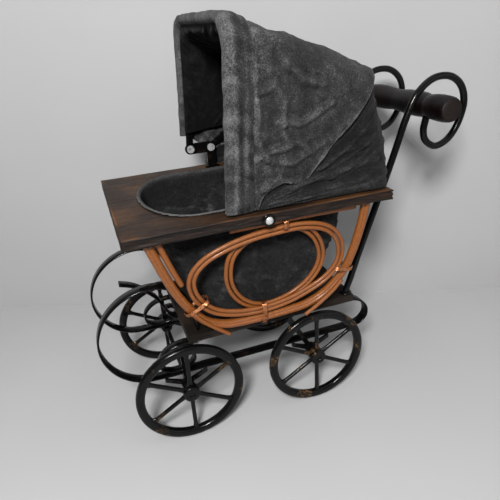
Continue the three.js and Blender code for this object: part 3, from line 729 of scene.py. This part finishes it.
def side_frame(side, sign):
    """Poles, the two double loops and the loose cane ends of one side."""
    def points(path, lift=0.0):
        return [on_frame(x, z, sign, lift) for x, z in path]

    seed = sign * 3.7
    pieces = (("frame_pole", POLE_PATH, POLE_RADIUS, 130, 48, 4),
              ("frame_thin_pole", THIN_POLE_PATH, THIN_POLE_RADIUS, 40, 14, 0),
              ("frame_top_rail", TOP_RAIL_PATH, THIN_POLE_RADIUS, 40, 14, 0))
    for name, path, radius, steps, sides, grooves in pieces:
        obj = tube(f"{name}_{side}_cane", points(path), cane_radius(radius, seed, grooves),
                   RATTAN, steps=steps, sides=sides)
        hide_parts(f"{name}_{side}")
    ovals = (("left", LEFT_OVAL, OVAL_LIFT, 1), ("right", RIGHT_OVAL, -OVAL_LIFT, -1))
    for oval, path, lift, turn in ovals:
        strands = (("outer", path), ("inner", inset_loop(path, -turn * STRAND_PITCH)))
        for strand, loop in strands:
            obj = tube(f"oval_{oval}_{strand}_{side}_cane", points(loop, lift),
                       cane_radius(STRAND_RADIUS, seed + len(strand)), RATTAN,
                       steps=150, sides=12, closed=True)
            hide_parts(f"oval_{oval}_{strand}_{side}")
    tail = tube(f"rattan_tail_{side}_cane",
                points(TAIL_PATH, POLE_RADIUS + STRAND_RADIUS + 1),
                cane_radius(STRAND_RADIUS, seed), RATTAN, steps=40, sides=12)
    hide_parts(f"rattan_tail_{side}")
    tube(f"rattan_front_tail_{side}_cane",
         points(FRONT_TAIL_PATH, POLE_RADIUS + STRAND_RADIUS - 1),
         cane_radius(STRAND_RADIUS, seed), RATTAN, steps=40, sides=12)


# Each tie: point on the pole, direction along the pole, first and last reach across it.
TIES = (("front", (52.6, 148.4), (0.5, -0.866), -6.3, 19.0),
        ("bottom", (124, 118.6), (1.0, 0.0), -6.3, 19.6))
EXTRA_TIES = (("rear", (213, 157), (0.2, 0.98), -6.3, 14.0),
              ("top", (143, 221.5), (1.0, 0.0), -6.2, 6.2))


def wire_tie(name, side, sign, centre, along, low, high):
    """Several turns of copper wire wound round the pole and the strands beside it."""
    turns, wire = 4, 0.55
    radius = POLE_RADIUS + 1.6 + wire
    direction = Vector((along[0], 0, along[1])).normalized()
    across = Vector((-along[1], 0, along[0])).normalized()
    half_run = (high - low) / 2 - radius + wire
    middle = (low + high) / 2
    arc = pi * radius
    half_lap = arc + 2 * half_run
    points = []
    per_turn = 40
    for i in range(turns * per_turn + 1):
        turn = i / per_turn
        run = (turn % 1.0) * 2 * half_lap
        back = 1 if run < half_lap else -1
        run %= half_lap
        if run < arc:
            angle = run / radius - pi / 2
            u, v = half_run + radius * cos(angle), radius * sin(angle)
        else:
            u, v = half_run - (run - arc), radius
        shift = (turn / turns - 0.5) * 4.2
        flat = (Vector((centre[0], 0, centre[1])) + across * (middle + back * u) + direction * shift)
        points.append(on_frame(flat.x, flat.z, sign, back * v))
    obj = tube(f"wire_tie_{name}_{side}_turns", points, wire, COPPER,
               steps=turns * 44, sides=6, side=direction)
    if f"wire_tie_{name}_{side}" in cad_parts:
        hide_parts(f"wire_tie_{name}_{side}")


# ---- strap springs, axles and wheels ----
SPRING_PATH = ((66, UNDER_BODY_Z), (110, UNDER_BODY_Z), (160, UNDER_BODY_Z),
               (205, UNDER_BODY_Z), (232, 101.5), (246, 96.5), (254, 86), (253.5, 75),
               (245, 67.5), (228, LOWER_RUN_Z), (180, LOWER_RUN_Z), (120, LOWER_RUN_Z),
               (60, LOWER_RUN_Z), (20, LOWER_RUN_Z), (-4, 69.5), (-22, 82), (-33, 101),
               (-35.3, 122), (-28, 143), (-13, 159), (5, 167.5), (24, 169), (40, 163),
               (51, 152), (57.5, 138), (59.5, 122), (59.5, 112.9))
SCROLL_PATH = ((58, 98.5), (44, 100), (28, 96), (18.5, 86), (18.5, 76), (26, 70.2),
               (38, 69.2), (49, 73), (54, 81), (50, 88), (43, 88))
TONGUE_PATH = ((-5, 155), (6, 151), (18, 143), (29, 131), (36, 118), (40.5, 108),
               (46.5, 103), (56, 102.6), (78, 102.6))


def chassis(side, sign):
    """Strap spring, front scroll, axle brackets and the bolt heads under the base."""
    spring = strip(f"strap_spring_{side}_steel", SPRING_PATH, sign * SPRING_Y, STRIP_WIDTH, 260)
    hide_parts(f"strap_spring_{side}")
    scroll = strip(f"front_scroll_{side}_steel", SCROLL_PATH, sign * SPRING_Y,
                   STRIP_WIDTH - 2, 90)
    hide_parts(f"front_scroll_{side}")
    for row in AXLE_X:
        bevel(ride_node(f"axle_bracket_{row}_{side}", ENAMEL), 0.5)
    for x in (84.0, 196.0):
        bolt = dome(f"spring_bolt_{side}_{round(x)}", (x, sign * SPRING_Y, UNDER_BODY_Z - 1.2),
                    (0, 0, -1), 2.6, 1.4, ENAMEL)
        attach(bolt, FRAME_BODY)


def dome(name, centre, axis, radius, height, material):
    """Round-headed rivet standing on a face."""
    profile = [(0, height)]
    for k in range(1, 9):
        angle = pi / 2 * k / 8
        profile.append((radius * sin(angle), height * cos(angle)))
    profile += [(radius * 0.98, -0.3), (0, -0.3)]
    return lathe(name, profile, centre, axis, material, 24)


def squared(angle, width, height, power):
    """Point of a rounded rectangle in a direction; a power below 1 squares its corners."""
    c, s = cos(angle), sin(angle)
    return width * copysign(abs(c) ** power, c), height * copysign(abs(s) ** power, s)


def wheel(row, side, sign):
    """Cast wheel: rounded rim, six spokes flared at the rim, hub with a dimple."""
    x = AXLE_X[row]
    body = f"wheel_{row}_{side}_set"
    name = f"wheel_{row}_{side}"
    centre = Vector((x, sign * TRACK_HALF, WHEEL_RADIUS))
    inner = WHEEL_RADIUS - RIM_DEPTH
    section = []
    for k in range(20):
        r, h = squared(tau * k / 20, RIM_DEPTH / 2, RIM_WIDTH / 2, 0.72)
        section.append(((WHEEL_RADIUS + inner) / 2 + r, h))
    rim = lathe(f"{name}_rim", section, centre, (0, 1, 0), WHEEL_ENAMEL,
                120, closed=True)
    half = HUB_WIDTH / 2
    hub_profile = [(2.4, -half + 1.6), (3.0, -half + 0.3), (3.8, -half), (7.0, -half),
                   (8.1, -half + 0.6), (HUB_RADIUS, -half + 1.6), (HUB_RADIUS, half - 1.6),
                   (8.1, half - 0.6), (7.0, half), (3.8, half), (3.0, half - 0.3),
                   (2.9, half - 2.0), (2.9, -half + 2.0)]
    hub = lathe(f"{name}_hub", hub_profile, centre, (0, 1, 0), WHEEL_ENAMEL,
                48, closed=True)
    parts = [rim, hub]
    for i in range(SPOKE_COUNT):
        angle = pi / 2 + tau * i / SPOKE_COUNT
        along = Vector((cos(angle), 0, sin(angle)))
        aside = Vector((-along.z, 0, along.x))
        verts = []
        steps, sides = 22, 12
        for k in range(steps + 1):
            t = k / steps
            reach = 6.0 + t * (inner + 1.5 - 6.0)
            flare = 2.15 + 2.4 * max(0.0, (t - 0.84) / 0.16) ** 2 + 0.7 * max(0.0, 0.2 - t) * 5
            for j in range(sides):
                u, v = squared(tau * j / sides, flare, 1.9, 0.75)
                verts.append(centre + along * reach + aside * u + Vector((0, v, 0)))
        spoke = mesh_object(f"{name}_spoke_{i}", verts, ring_faces(steps + 1, sides, False),
                            WHEEL_ENAMEL)
        fix_normals(spoke)
        parts.append(spoke)
    whole = join(f"{name}_casting", parts, body)
    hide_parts(name)


# ---- push handle ----
ROD_PATH = ((226.5, 112.2), (227.5, 116), (232, 128), (241, 155), (258, 202), (271.5, 240),
            (281, 268), (288.5, 291), (299, 313), (317, 326), (337, 326), (351, 316),
            (356.7, 299.5), (351.5, 278), (340.5, 264), (326, 259.5), (313.5, 267.5),
            (310.5, 277), (312.6, 291))


def handle_rod(side, sign):
    """Bent rod with its scroll, and the round foot on the base board."""
    points = [Vector((x, sign * ROD_Y, z)) for x, z in ROD_PATH]
    rod = tube(f"handle_rod_{side}_wire", points, ROD_RADIUS, ENAMEL,
               steps=220, sides=16)
    foot = lathe(f"handle_foot_{side}", [(0, 2.2), (3.6, 2.2), (6.0, 1.6), (6.5, 0.8),
                                         (6.5, 0.1), (0, 0.1)],
                 (ROD_PATH[0][0], sign * ROD_Y, BASE_TOP), (0, 0, 1), ENAMEL,
                 32)
    whole = join(f"handle_rod_{side}_steel", [rod, foot], FRAME_BODY)
    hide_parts(f"handle_rod_{side}")


def handle_bar():
    """Turned wooden grip: two long swells, a knob at each end and a waist where each rod holds."""
    half = [(0.0, -84.0), (6.0, -84.0), (9.6, -83.9), (10.8, -83.0), (11.7, -80.6),
            (12.3, -76.0), (12.5, -69.0), (12.3, -62.0), (11.6, -56.4), (10.9, -53.4),
            (10.4, -51.6), (10.5, -50.0), (11.1, -47.6), (11.9, -43.6), (12.4, -37.0),
            (12.5, -29.0), (12.3, -21.0), (11.8, -14.0), (11.1, -7.0), (10.8, -2.0)]
    profile = half + [(r, -h) for r, h in reversed(half)]
    bar = lathe("handle_bar_wood", profile, (BAR_X, 0, BAR_Z), (0, 1, 0), BAR_STAIN,
                56)
    bar.data.materials.append(BAR_END)
    limit = 83.3 * MM
    for face in bar.data.polygons:
        if abs(face.center.y) > limit:
            face.material_index = 1
    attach(bar, FRAME_BODY)
    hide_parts("handle_bar")


# ---- folding hood ----
def arch_length(half_width, height, radius):
    return 2 * (height - radius) + pi * radius + 2 * (half_width - radius)


def arch(t, half_width, height, radius):
    """Rounded arch from the near foot (t=0) to the far foot: (y, share of the height)."""
    leg = height - radius
    top = 2 * (half_width - radius)
    corner = pi / 2 * radius
    total = 2 * leg + 2 * corner + top
    run = t * total
    mirror = run > total / 2
    if mirror:
        run = total - run
    y, h = -half_width, min(run, leg)
    if run > leg:
        angle = min((run - leg) / radius, pi / 2)
        y = -half_width + radius * (1 - cos(angle)) + max(0.0, run - leg - corner)
        h = leg + radius * sin(angle)
    return (-y if mirror else y), h / height


def bow(name, pivot_x, crown_x, crown_z, radius, body):
    """Flat steel bow with an eye round each pivot."""
    height = hypot(crown_x - pivot_x, crown_z - PIVOT_Z)
    ux, uz = (crown_x - pivot_x) / height, (crown_z - PIVOT_Z) / height
    verts = []
    steps = 140
    outline = ((-1, 0.2), (-0.85, 0), (0.85, 0), (1, 0.2), (1, 0.8), (0.85, 1), (-0.85, 1),
               (-1, 0.8))
    for i in range(steps + 1):
        t = i / steps
        for edge, depth in outline:
            shrink = depth * BOW_THICKNESS
            y, h = arch(t, BOW_HALF_WIDTH - shrink, height - shrink, radius - shrink)
            reach = h * (height - shrink)
            verts.append(Vector((pivot_x + ux * reach + edge * uz * BOW_WIDTH / 2, y,
                                 PIVOT_Z + uz * reach - edge * ux * BOW_WIDTH / 2)))
    strap = mesh_object(f"{name}_strap", verts, ring_faces(steps + 1, len(outline), False),
                        ENAMEL)
    fix_normals(strap)
    parts = [strap]
    for side, sign in SIDES:
        eye = lathe(f"{name}_eye_{side}", [(0, 0), (5.2, 0), (5.5, 0.25), (5.5, 1.3),
                                           (5.2, 1.6), (0, 1.6)],
                    (pivot_x, sign * (BOW_HALF_WIDTH - BOW_THICKNESS), PIVOT_Z),
                    (0, sign, 0), ENAMEL, 32)
        parts.append(eye)
    whole = join(f"{name}_steel", parts, body)
    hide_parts(name)


FRONT_EDGE = ((95, 2.6), (99, 60), (102, 110), (104, HOOD_CROWN))
FLAP_EDGE = ((118, 2.6), (125, 15), (141, 23), (160, 20), (174, 33), (190, 50), (206, 65),
             (225, 86), (240.6, 104))
REAR_SEAM = ((119, 2.0), (125, 14), (139, 23), (170, 39), (205, 63), (223, 84), (238.5, 102))
REAR_EDGE = ((119, 1.6), (160, 1.6), (210, 1.6), (253, 1.6))
LINING_SEAM = ((118, 30), (133, 40), (150, 48), (190, 66), (214, 84), (232, 93))
CLOTH_INSET = 0.9                 # outer cloth inside the hood's widest outline
LINING_INSET = 7.4
LINING_FOOT = 39.0                # height of the lining's lower ends above the board, on the arch
FAR_HEM_LIFT = 36.0               # the far side's hem ends above the link plate
HEM_WIDTH = 20.0                  # sleeve round the front bow
HEM_SWELL = 2.8
HEM_FORWARD = 4.6                 # how far the sleeve bulges in front of the bow
HEM_WRAP = 0.08                   # share of the front sheet folded back round the bow
MOST_PUSH = 4.0                   # tallest fold
LEAST_WEAR = -0.6
FRONT_COUNT = (130, 460)          # rows and columns of each hood sheet
REAR_COUNT = (110, 440)
LINING_COUNT = (80, 420)
# Folds pressed into the cloth's sides, as (x, height above the board) along each.
FRONT_CREASES = (((120, 46), (131, 50), (158, 55), (171, 43)),
                 ((118, 18), (139, 25), (156, 22)),
                 ((143, 123), (162, 104), (180, 99)),
                 ((121, 122), (121, 103), (123, 85), (120, 62), (128, 45)),
                 ((126, 98), (138, 102), (146, 88), (143, 70)),
                 ((128, 44), (152, 38), (186, 54)),
                 ((138, 74), (160, 70), (188, 84)))
REAR_CREASES = (((187, 20), (209, 28), (232, 29)), ((158, 9), (197, 12), (222, 14)),
                ((178, 30), (200, 42), (226, 46)), ((150, 16), (172, 22), (190, 20)))


def crease_height(x, height, lines):
    """Ridge with a groove on each side along every polyline: (ridge height, how worn)."""
    total, worn = 0.0, 0.0
    for line in lines:
        nearest = 1e9
        for (ax, az), (bx, bz) in zip(line, line[1:]):
            dx, dz = bx - ax, bz - az
            share = ((x - ax) * dx + (height - az) * dz) / (dx * dx + dz * dz)
            share = min(max(share, 0.0), 1.0)
            nearest = min(nearest, hypot(x - ax - share * dx, height - az - share * dz))
        wander = 1 + 0.5 * rough(x * 0.12, height * 0.12, 3.0)
        total += 2.0 * wander * exp(-(nearest / 2.6) ** 2)
        total -= 1.0 * wander * exp(-((nearest - 5.5) / 2.6) ** 2)
        worn = max(worn, max(0.0, wander - 0.5) * exp(-(nearest / 2.2) ** 2))
    return max(total, -1.3), worn


def hem_swell(across):
    """Height of the stuffed sleeve over its width, as a share of HEM_SWELL."""
    return sin(pi * (0.3 + 0.7 * min(1.0, across)))


def hem_relief(t, across):
    """Puckered sleeve sewn round a bow."""
    swell = hem_swell(across)
    pucker = rough(t * 46, across * 1.3, 2.0)
    crumple = rough(t * 24, across * 3.0, 6.0)
    streak = rough(t * 7, across * 4.0, 16.0)
    height = 1.7 * pucker * swell + 1.3 * crumple
    edge = exp(-(across / 0.2) ** 2)
    return height, 0.16 + 0.3 * streak + 0.2 * pucker + 0.12 * edge


def front_relief(u, t, point, reach):
    """Height of the front panel's folds and how worn each point is, plus a painted highlight along
    its rear edge.
    """
    if u < HEM_WRAP:
        height, worn = hem_relief(t, 0.0)
        return height * (u / HEM_WRAP), worn
    along = (u - HEM_WRAP) / (1 - HEM_WRAP) * reach
    above = point.z - BOARD_TOP
    if along < HEM_WIDTH:
        return hem_relief(t, along / HEM_WIDTH)
    share = (along - HEM_WIDTH) / max(reach - HEM_WIDTH, 1.0)
    crown = smooth_step(HOOD_HALF_WIDTH, HOOD_HALF_WIDTH - 30, abs(point.y))
    stitch = exp(-((along - HEM_WIDTH - 1.4) / 1.2) ** 2)
    dip = exp(-((along - HEM_WIDTH - 13) / 17) ** 2)
    gather = ridge(t * 17, share * 2.2, 1.0) ** 3 * smooth_step(0.6, 0.0, share)
    spread = ridge(t * 6 + share * 2.4, share * 2.0 - t * 1.5, 8.0) ** 3
    sag = rough(t * 4.0, share * 2.4, 4.0)
    fine = rough(t * 42, along * 0.16, 3.0)
    folds, pressed = crease_height(point.x, above, FRONT_CREASES)
    side = 1 - crown
    # rim is a painted highlight: a lighter band along the rear edge, where the panel lies over the
    # rear one
    rim = exp(-((reach - along) / 1.6) ** 2)
    height = 0.9 * gather + 1.2 * spread + 2.0 * sag + 0.5 * fine - 1.2 * stitch
    height += side * folds - 4.4 * crown * dip
    height += 1.6 * smooth_step(14.0, 0.0, reach - along)
    wear_and_edge_highlight = 0.1 * gather + 0.08 * spread + 0.1 * sag + 0.1 * fine + 0.22 * side * pressed
    return height, wear_and_edge_highlight + 0.26 * rim + 0.06 + 0.1 * stitch


def rear_relief(u, t, point, reach):
    """The rear panel tucks under the front one and has a hem along the board."""
    along = u * reach
    above = point.z - BOARD_TOP
    spread = ridge(t * 6 + u * 1.2, u * 3.4, 15.0) ** 3
    cross = ridge(t * 3.5, u * 5.5 + t * 2, 22.0) ** 3
    sag = rough(t * 3.6, u * 2.2, 31.0)
    fine = rough(t * 40, u * 24, 13.0)
    folds, pressed = crease_height(point.x, above, REAR_CREASES)
    side = smooth_step(HOOD_HALF_WIDTH - 20, HOOD_HALF_WIDTH - 4, abs(point.y))
    hem = exp(-((reach - along - 4.0) / 3.0) ** 2)
    tucked = smooth_step(0.0, 16.0, along)
    height = 1.2 * spread + 1.2 * cross + 2.0 * sag + 0.5 * fine + 0.8 * hem
    height = tucked * (height + side * folds) - 1.6 * (1 - tucked)
    return height, 0.12 * spread + 0.12 * cross + 0.12 * sag + 0.2 * side * pressed + 0.08 * hem


def lining_relief(u, t, point, reach):
    """Crumpled gathers of the lining; they only bulge into the hood."""
    deep = smooth_step(0.0, 0.04, u)
    spread = ridge(t * 9 + u, u * 3.0, 41.0) ** 2
    sag = rough(t * 7.0, u * 2.4, 47.0)
    pucker = ridge(t * 34, u * 3.5, 2.0) * smooth_step(0.5, 0.0, u)
    crush = ridge(t * 16, u * 6.0, 53.0)
    height = -deep * (1.6 + 2.0 * spread + 2.4 * abs(sag) + 2.2 * crush + 1.6 * pucker)
    return height, -0.3 + (0.16 * crush + 0.1 * pucker) * deep


def cloth_grid(name, surface, relief, reach, counts, material):
    """A sheet from surface(u, t), pushed outward along its normals by relief."""
    rows, columns = counts
    step = 0.01
    verts, wear_and_edge_highlight = [], []
    reaches = [reach(j / columns) for j in range(columns + 1)]
    for i in range(rows + 1):
        for j in range(columns + 1):
            u, t = i / rows, j / columns
            point = surface(u, t)
            du = surface(min(1, u + step), t) - surface(max(0, u - step), t)
            dt = surface(u, min(1, t + step)) - surface(u, max(0, t - step))
            height, worn = relief(u, t, point, reaches[j])
            loose = 0.3 + 0.7 * smooth_step(0.0, 0.03, min(t, 1 - t))
            pushed = point + du.cross(dt).normalized() * (min(height, MOST_PUSH) * loose)
            pushed.z = max(pushed.z, BOARD_TOP + CLOTH_INSET)
            verts.append(pushed)
            wear_and_edge_highlight.append(min(1.0, max(LEAST_WEAR, worn)))
    size = columns + 1
    faces = [(i * size + j, i * size + j + 1, (i + 1) * size + j + 1, (i + 1) * size + j)
             for i in range(rows) for j in range(columns)]
    obj = mesh_object(name, verts, faces, material)
    store(obj, "wear_and_edge_highlight", wear_and_edge_highlight)
    solid = obj.modifiers.new("cloth_thickness", "SOLIDIFY")
    solid.thickness = CLOTH_THICKNESS * MM
    solid.offset = 0
    with bpy.context.temp_override(object=obj, active_object=obj):
        bpy.ops.object.modifier_apply(modifier=solid.name)
    fix_normals(obj)
    return obj


def hood_surface(first, last, radii, bulge, feet):
    """Surface between two bent arches; feet gives both lower ends' heights at u."""
    start = spline([(x, 0, BOARD_TOP + z) for x, z in first])
    finish = spline([(x, 0, BOARD_TOP + z) for x, z in last])

    def surface(u, t, inset=CLOTH_INSET, forward=0.0):
        radius = radii[0] + (radii[1] - radii[0]) * u
        near, far = feet(u)
        total = arch_length(HOOD_HALF_WIDTH - inset, HOOD_CROWN - inset, radius)
        span = near / total + t * (1 - (near + far) / total)
        y, h = arch(span, HOOD_HALF_WIDTH - inset, HOOD_CROWN - inset, radius)
        h *= (HOOD_CROWN - inset) / HOOD_CROWN
        swell = bulge * sin(pi * u) * h * h
        point = start(h).lerp(finish(h), u)
        return Vector((point.x + swell * 0.6 - forward, y, point.z + swell * 0.8))

    return surface


def hood():
    """Front panel over both bows, rear panel down to the board, and a lining inside."""
    outer = hood_surface(FRONT_EDGE, FLAP_EDGE, (24, 34), 3.5,
                         lambda u: (0.0, FAR_HEM_LIFT * (1 - u) ** 0.5))

    @functools.lru_cache(None)
    def depth(t):
        return (outer(1, t) - outer(0, t)).length

    def front_panel(u, t):
        """Front cloth whose first rows wrap round the front bow from the inside."""
        if u < HEM_WRAP:
            turn = pi * (1 - u / HEM_WRAP)
            first = CLOTH_INSET - HEM_SWELL * hem_swell(0.0)
            return outer(0, t, first + (LINING_INSET - first) / 2 * (1 - cos(turn)),
                         HEM_FORWARD * sin(turn))
        share = (u - HEM_WRAP) / (1 - HEM_WRAP)
        return outer(share, t, CLOTH_INSET - HEM_SWELL * hem_swell(share * depth(t) / HEM_WIDTH))

    front = cloth_grid("hood_front_cloth", front_panel, front_relief, depth, FRONT_COUNT, CLOTH)
    back = hood_surface(REAR_SEAM, REAR_EDGE, (34, 16), 3.5, lambda u: (0.0, 0.0))
    rear = cloth_grid("hood_rear_cloth", back, rear_relief,
                      lambda t: (back(1, t) - back(0, t)).length, REAR_COUNT, REAR_CLOTH)
    inner = hood_surface(FRONT_EDGE, LINING_SEAM, (24, 30), 0.0,
                         lambda u: (LINING_FOOT * smooth_step(0.0, 0.08, u), LINING_FOOT))
    lining = cloth_grid("hood_lining_cloth", lambda u, t: inner(u, t, LINING_INSET),
                        lining_relief, lambda t: 1.0, LINING_COUNT, REAR_CLOTH)
    for cloth in (front, lining):
        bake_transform(cloth)
    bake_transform(rear)
    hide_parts("hood_front_panel")
    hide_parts("hood_rear_panel")
    bow("front_bow", FRONT_PIVOT_X, 112, 388.5, 22, FRONT_BODY)
    bow("mid_bow", MID_PIVOT_X, 236, 335, 32, MID_BODY)


def board_tab(side, sign):
    """Black washer on the board's edge with a bright round-headed screw."""
    face = BOARD_WIDTH / 2 + 0.35
    washer = lathe(f"board_tab_{side}_washer", [(0, 1.5), (5.0, 1.5), (5.8, 1.1), (6.0, 0.5),
                                                (6.0, 0), (0, 0)],
                   (125, sign * face, 232), (0, sign, 0), ENAMEL, 32)
    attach(washer, FRAME_BODY)
    screw = dome(f"board_tab_{side}_screw", (125, sign * (face + 1.5), 232), (0, sign, 0),
                 3.6, 1.6, STEEL)
    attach(screw, FRAME_BODY)
    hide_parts(f"board_tab_{side}")


def hardware(side):
    """Plates, brackets and rivets of one hinge, with softened edges."""
    for name, material, width in ((f"link_plate_{side}", ENAMEL, 0.3),
                                  (f"bow_bracket_{side}", ENAMEL, 0.3),
                                  (f"pivot_rivet_front_{side}", STEEL, 0.7),
                                  (f"pivot_rivet_mid_{side}", STEEL, 0.7)):
        bevel(ride_node(name, material), width, 3)


# ---- everything on the object ----
top_board()
bevel(ride_node("base_board", BASE), 1.2, 3)
basket = cloth_basket()
for SIDE, SIGN in SIDES:
    side_frame(SIDE, SIGN)
    for tie in TIES + EXTRA_TIES:
        wire_tie(tie[0], SIDE, SIGN, *tie[1:])
    chassis(SIDE, SIGN)
    handle_rod(SIDE, SIGN)
    hardware(SIDE)
    board_tab(SIDE, SIGN)
    for row in AXLE_X:
        wheel(row, SIDE, SIGN)
tongue = strip("front_tongue_steel", TONGUE_PATH, 0, STRIP_WIDTH, 90)
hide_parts("front_tongue")
for row in AXLE_X:
    bevel(ride_node(f"axle_{row}", ENAMEL), 0.3)
handle_bar()
hood()


# ---- room, lights and camera ----
def plain_surface(name, tone, one_sided=False):
    """Pale matt paint; views from behind a one-sided sheet see through it."""
    paint = Paint(name).set(Roughness=0.9)
    grain = paint.noise(paint.rest(), 6, 3, 0.5)
    paint.colour(paint.ramp(grain, (0.3, tone * 0.98), (0.7, tone * 1.02)))
    if one_sided:
        back = paint.node("NewGeometry").outputs["Backfacing"]
        blend = paint.node("MixShader", back, paint.shader.outputs[0],
                           paint.node("BsdfTransparent").outputs[0])
        paint.links.new(blend.outputs[0], paint.nodes["Material Output"].inputs["Surface"])
    return paint.material


def stage_sheet(name, corners, material):
    mesh = bpy.data.meshes.new(name)
    mesh.from_pydata([place(*corner) for corner in corners], [], [(0, 1, 2, 3)])
    obj = bpy.data.objects.new(name, mesh)
    bpy.context.scene.collection.objects.link(obj)
    mesh.materials.append(material)


# The wall stands on a line through these two points; the floor reaches FLOOR_HALF each way.
WALL_FOOT = (Vector((-184, 306, 0)), Vector((537, 25, 0)))
WALL_RISE = Vector((0, 0, 2500))
WALL_TONE = 0.4
FLOOR_HALF = 4000
FLOOR_TONE = 0.43
wall_run = (WALL_FOOT[1] - WALL_FOOT[0]).normalized() * 3000
wall_start, wall_end = WALL_FOOT[0] - wall_run, WALL_FOOT[1] + wall_run
stage_sheet("wall", [wall_start, wall_end, wall_end + WALL_RISE, wall_start + WALL_RISE],
            plain_surface("wall_look", WALL_TONE, one_sided=True))
stage_sheet("floor", [(x * FLOOR_HALF, y * FLOOR_HALF, 0)
                      for x, y in ((-1, -1), (1, -1), (1, 1), (-1, 1))],
            plain_surface("floor_look", FLOOR_TONE))


def area_light(name, location, size, power):
    """Round lamp aimed at the middle of the pram."""
    light = bpy.data.lights.new(name, "AREA")
    light.shape = "DISK"
    light.size = size
    light.energy = power
    obj = bpy.data.objects.new(name, light)
    bpy.context.scene.collection.objects.link(obj)
    obj.location = location
    obj.rotation_euler = (AIM - Vector(location)).to_track_quat("-Z", "Y").to_euler()


AIM = Vector((0.0, 0.0, 0.18))
area_light("key", (-0.38, -0.72, 0.78), 0.2, 14.5)
area_light("fill", (0.9, -1.1, 0.7), 1.4, 3.2)
area_light("top", (0.0, 0.1, 1.9), 1.8, 8)
world = bpy.data.worlds.new("soft_room")
world.use_nodes = True
backdrop = world.node_tree.nodes["Background"].inputs
backdrop["Color"].default_value = (0.8, 0.82, 0.85, 1)
backdrop["Strength"].default_value = 0.22
bpy.context.scene.world = world

CAMERA_PLACE = Vector((-0.175355, -0.45104, 0.38833))
CAMERA_YAW = 0.322
CAMERA_PITCH = 0.445
CAMERA_ROLL = -0.068
LENS = 34.87
SENSOR_WIDTH = 36


def make_camera():
    """Camera at CAMERA_PLACE, turned by yaw from +Y towards +X, pitched down and rolled."""
    data = bpy.data.cameras.new("camera")
    data.lens = LENS
    data.sensor_width = SENSOR_WIDTH
    camera = bpy.data.objects.new("camera", data)
    bpy.context.scene.collection.objects.link(camera)
    forward = Vector((sin(CAMERA_YAW) * cos(CAMERA_PITCH),
                      cos(CAMERA_YAW) * cos(CAMERA_PITCH), -sin(CAMERA_PITCH)))
    right = forward.cross(Vector((0, 0, 1))).normalized()
    up = right.cross(forward)
    c, s = cos(CAMERA_ROLL), sin(CAMERA_ROLL)
    axes = Matrix((right * c + up * s, up * c - right * s, -forward)).transposed()
    camera.matrix_world = Matrix.Translation(CAMERA_PLACE) @ axes.to_4x4()
    bpy.context.scene.camera = camera


make_camera()
bpy.context.scene.view_settings.view_transform = "Standard"
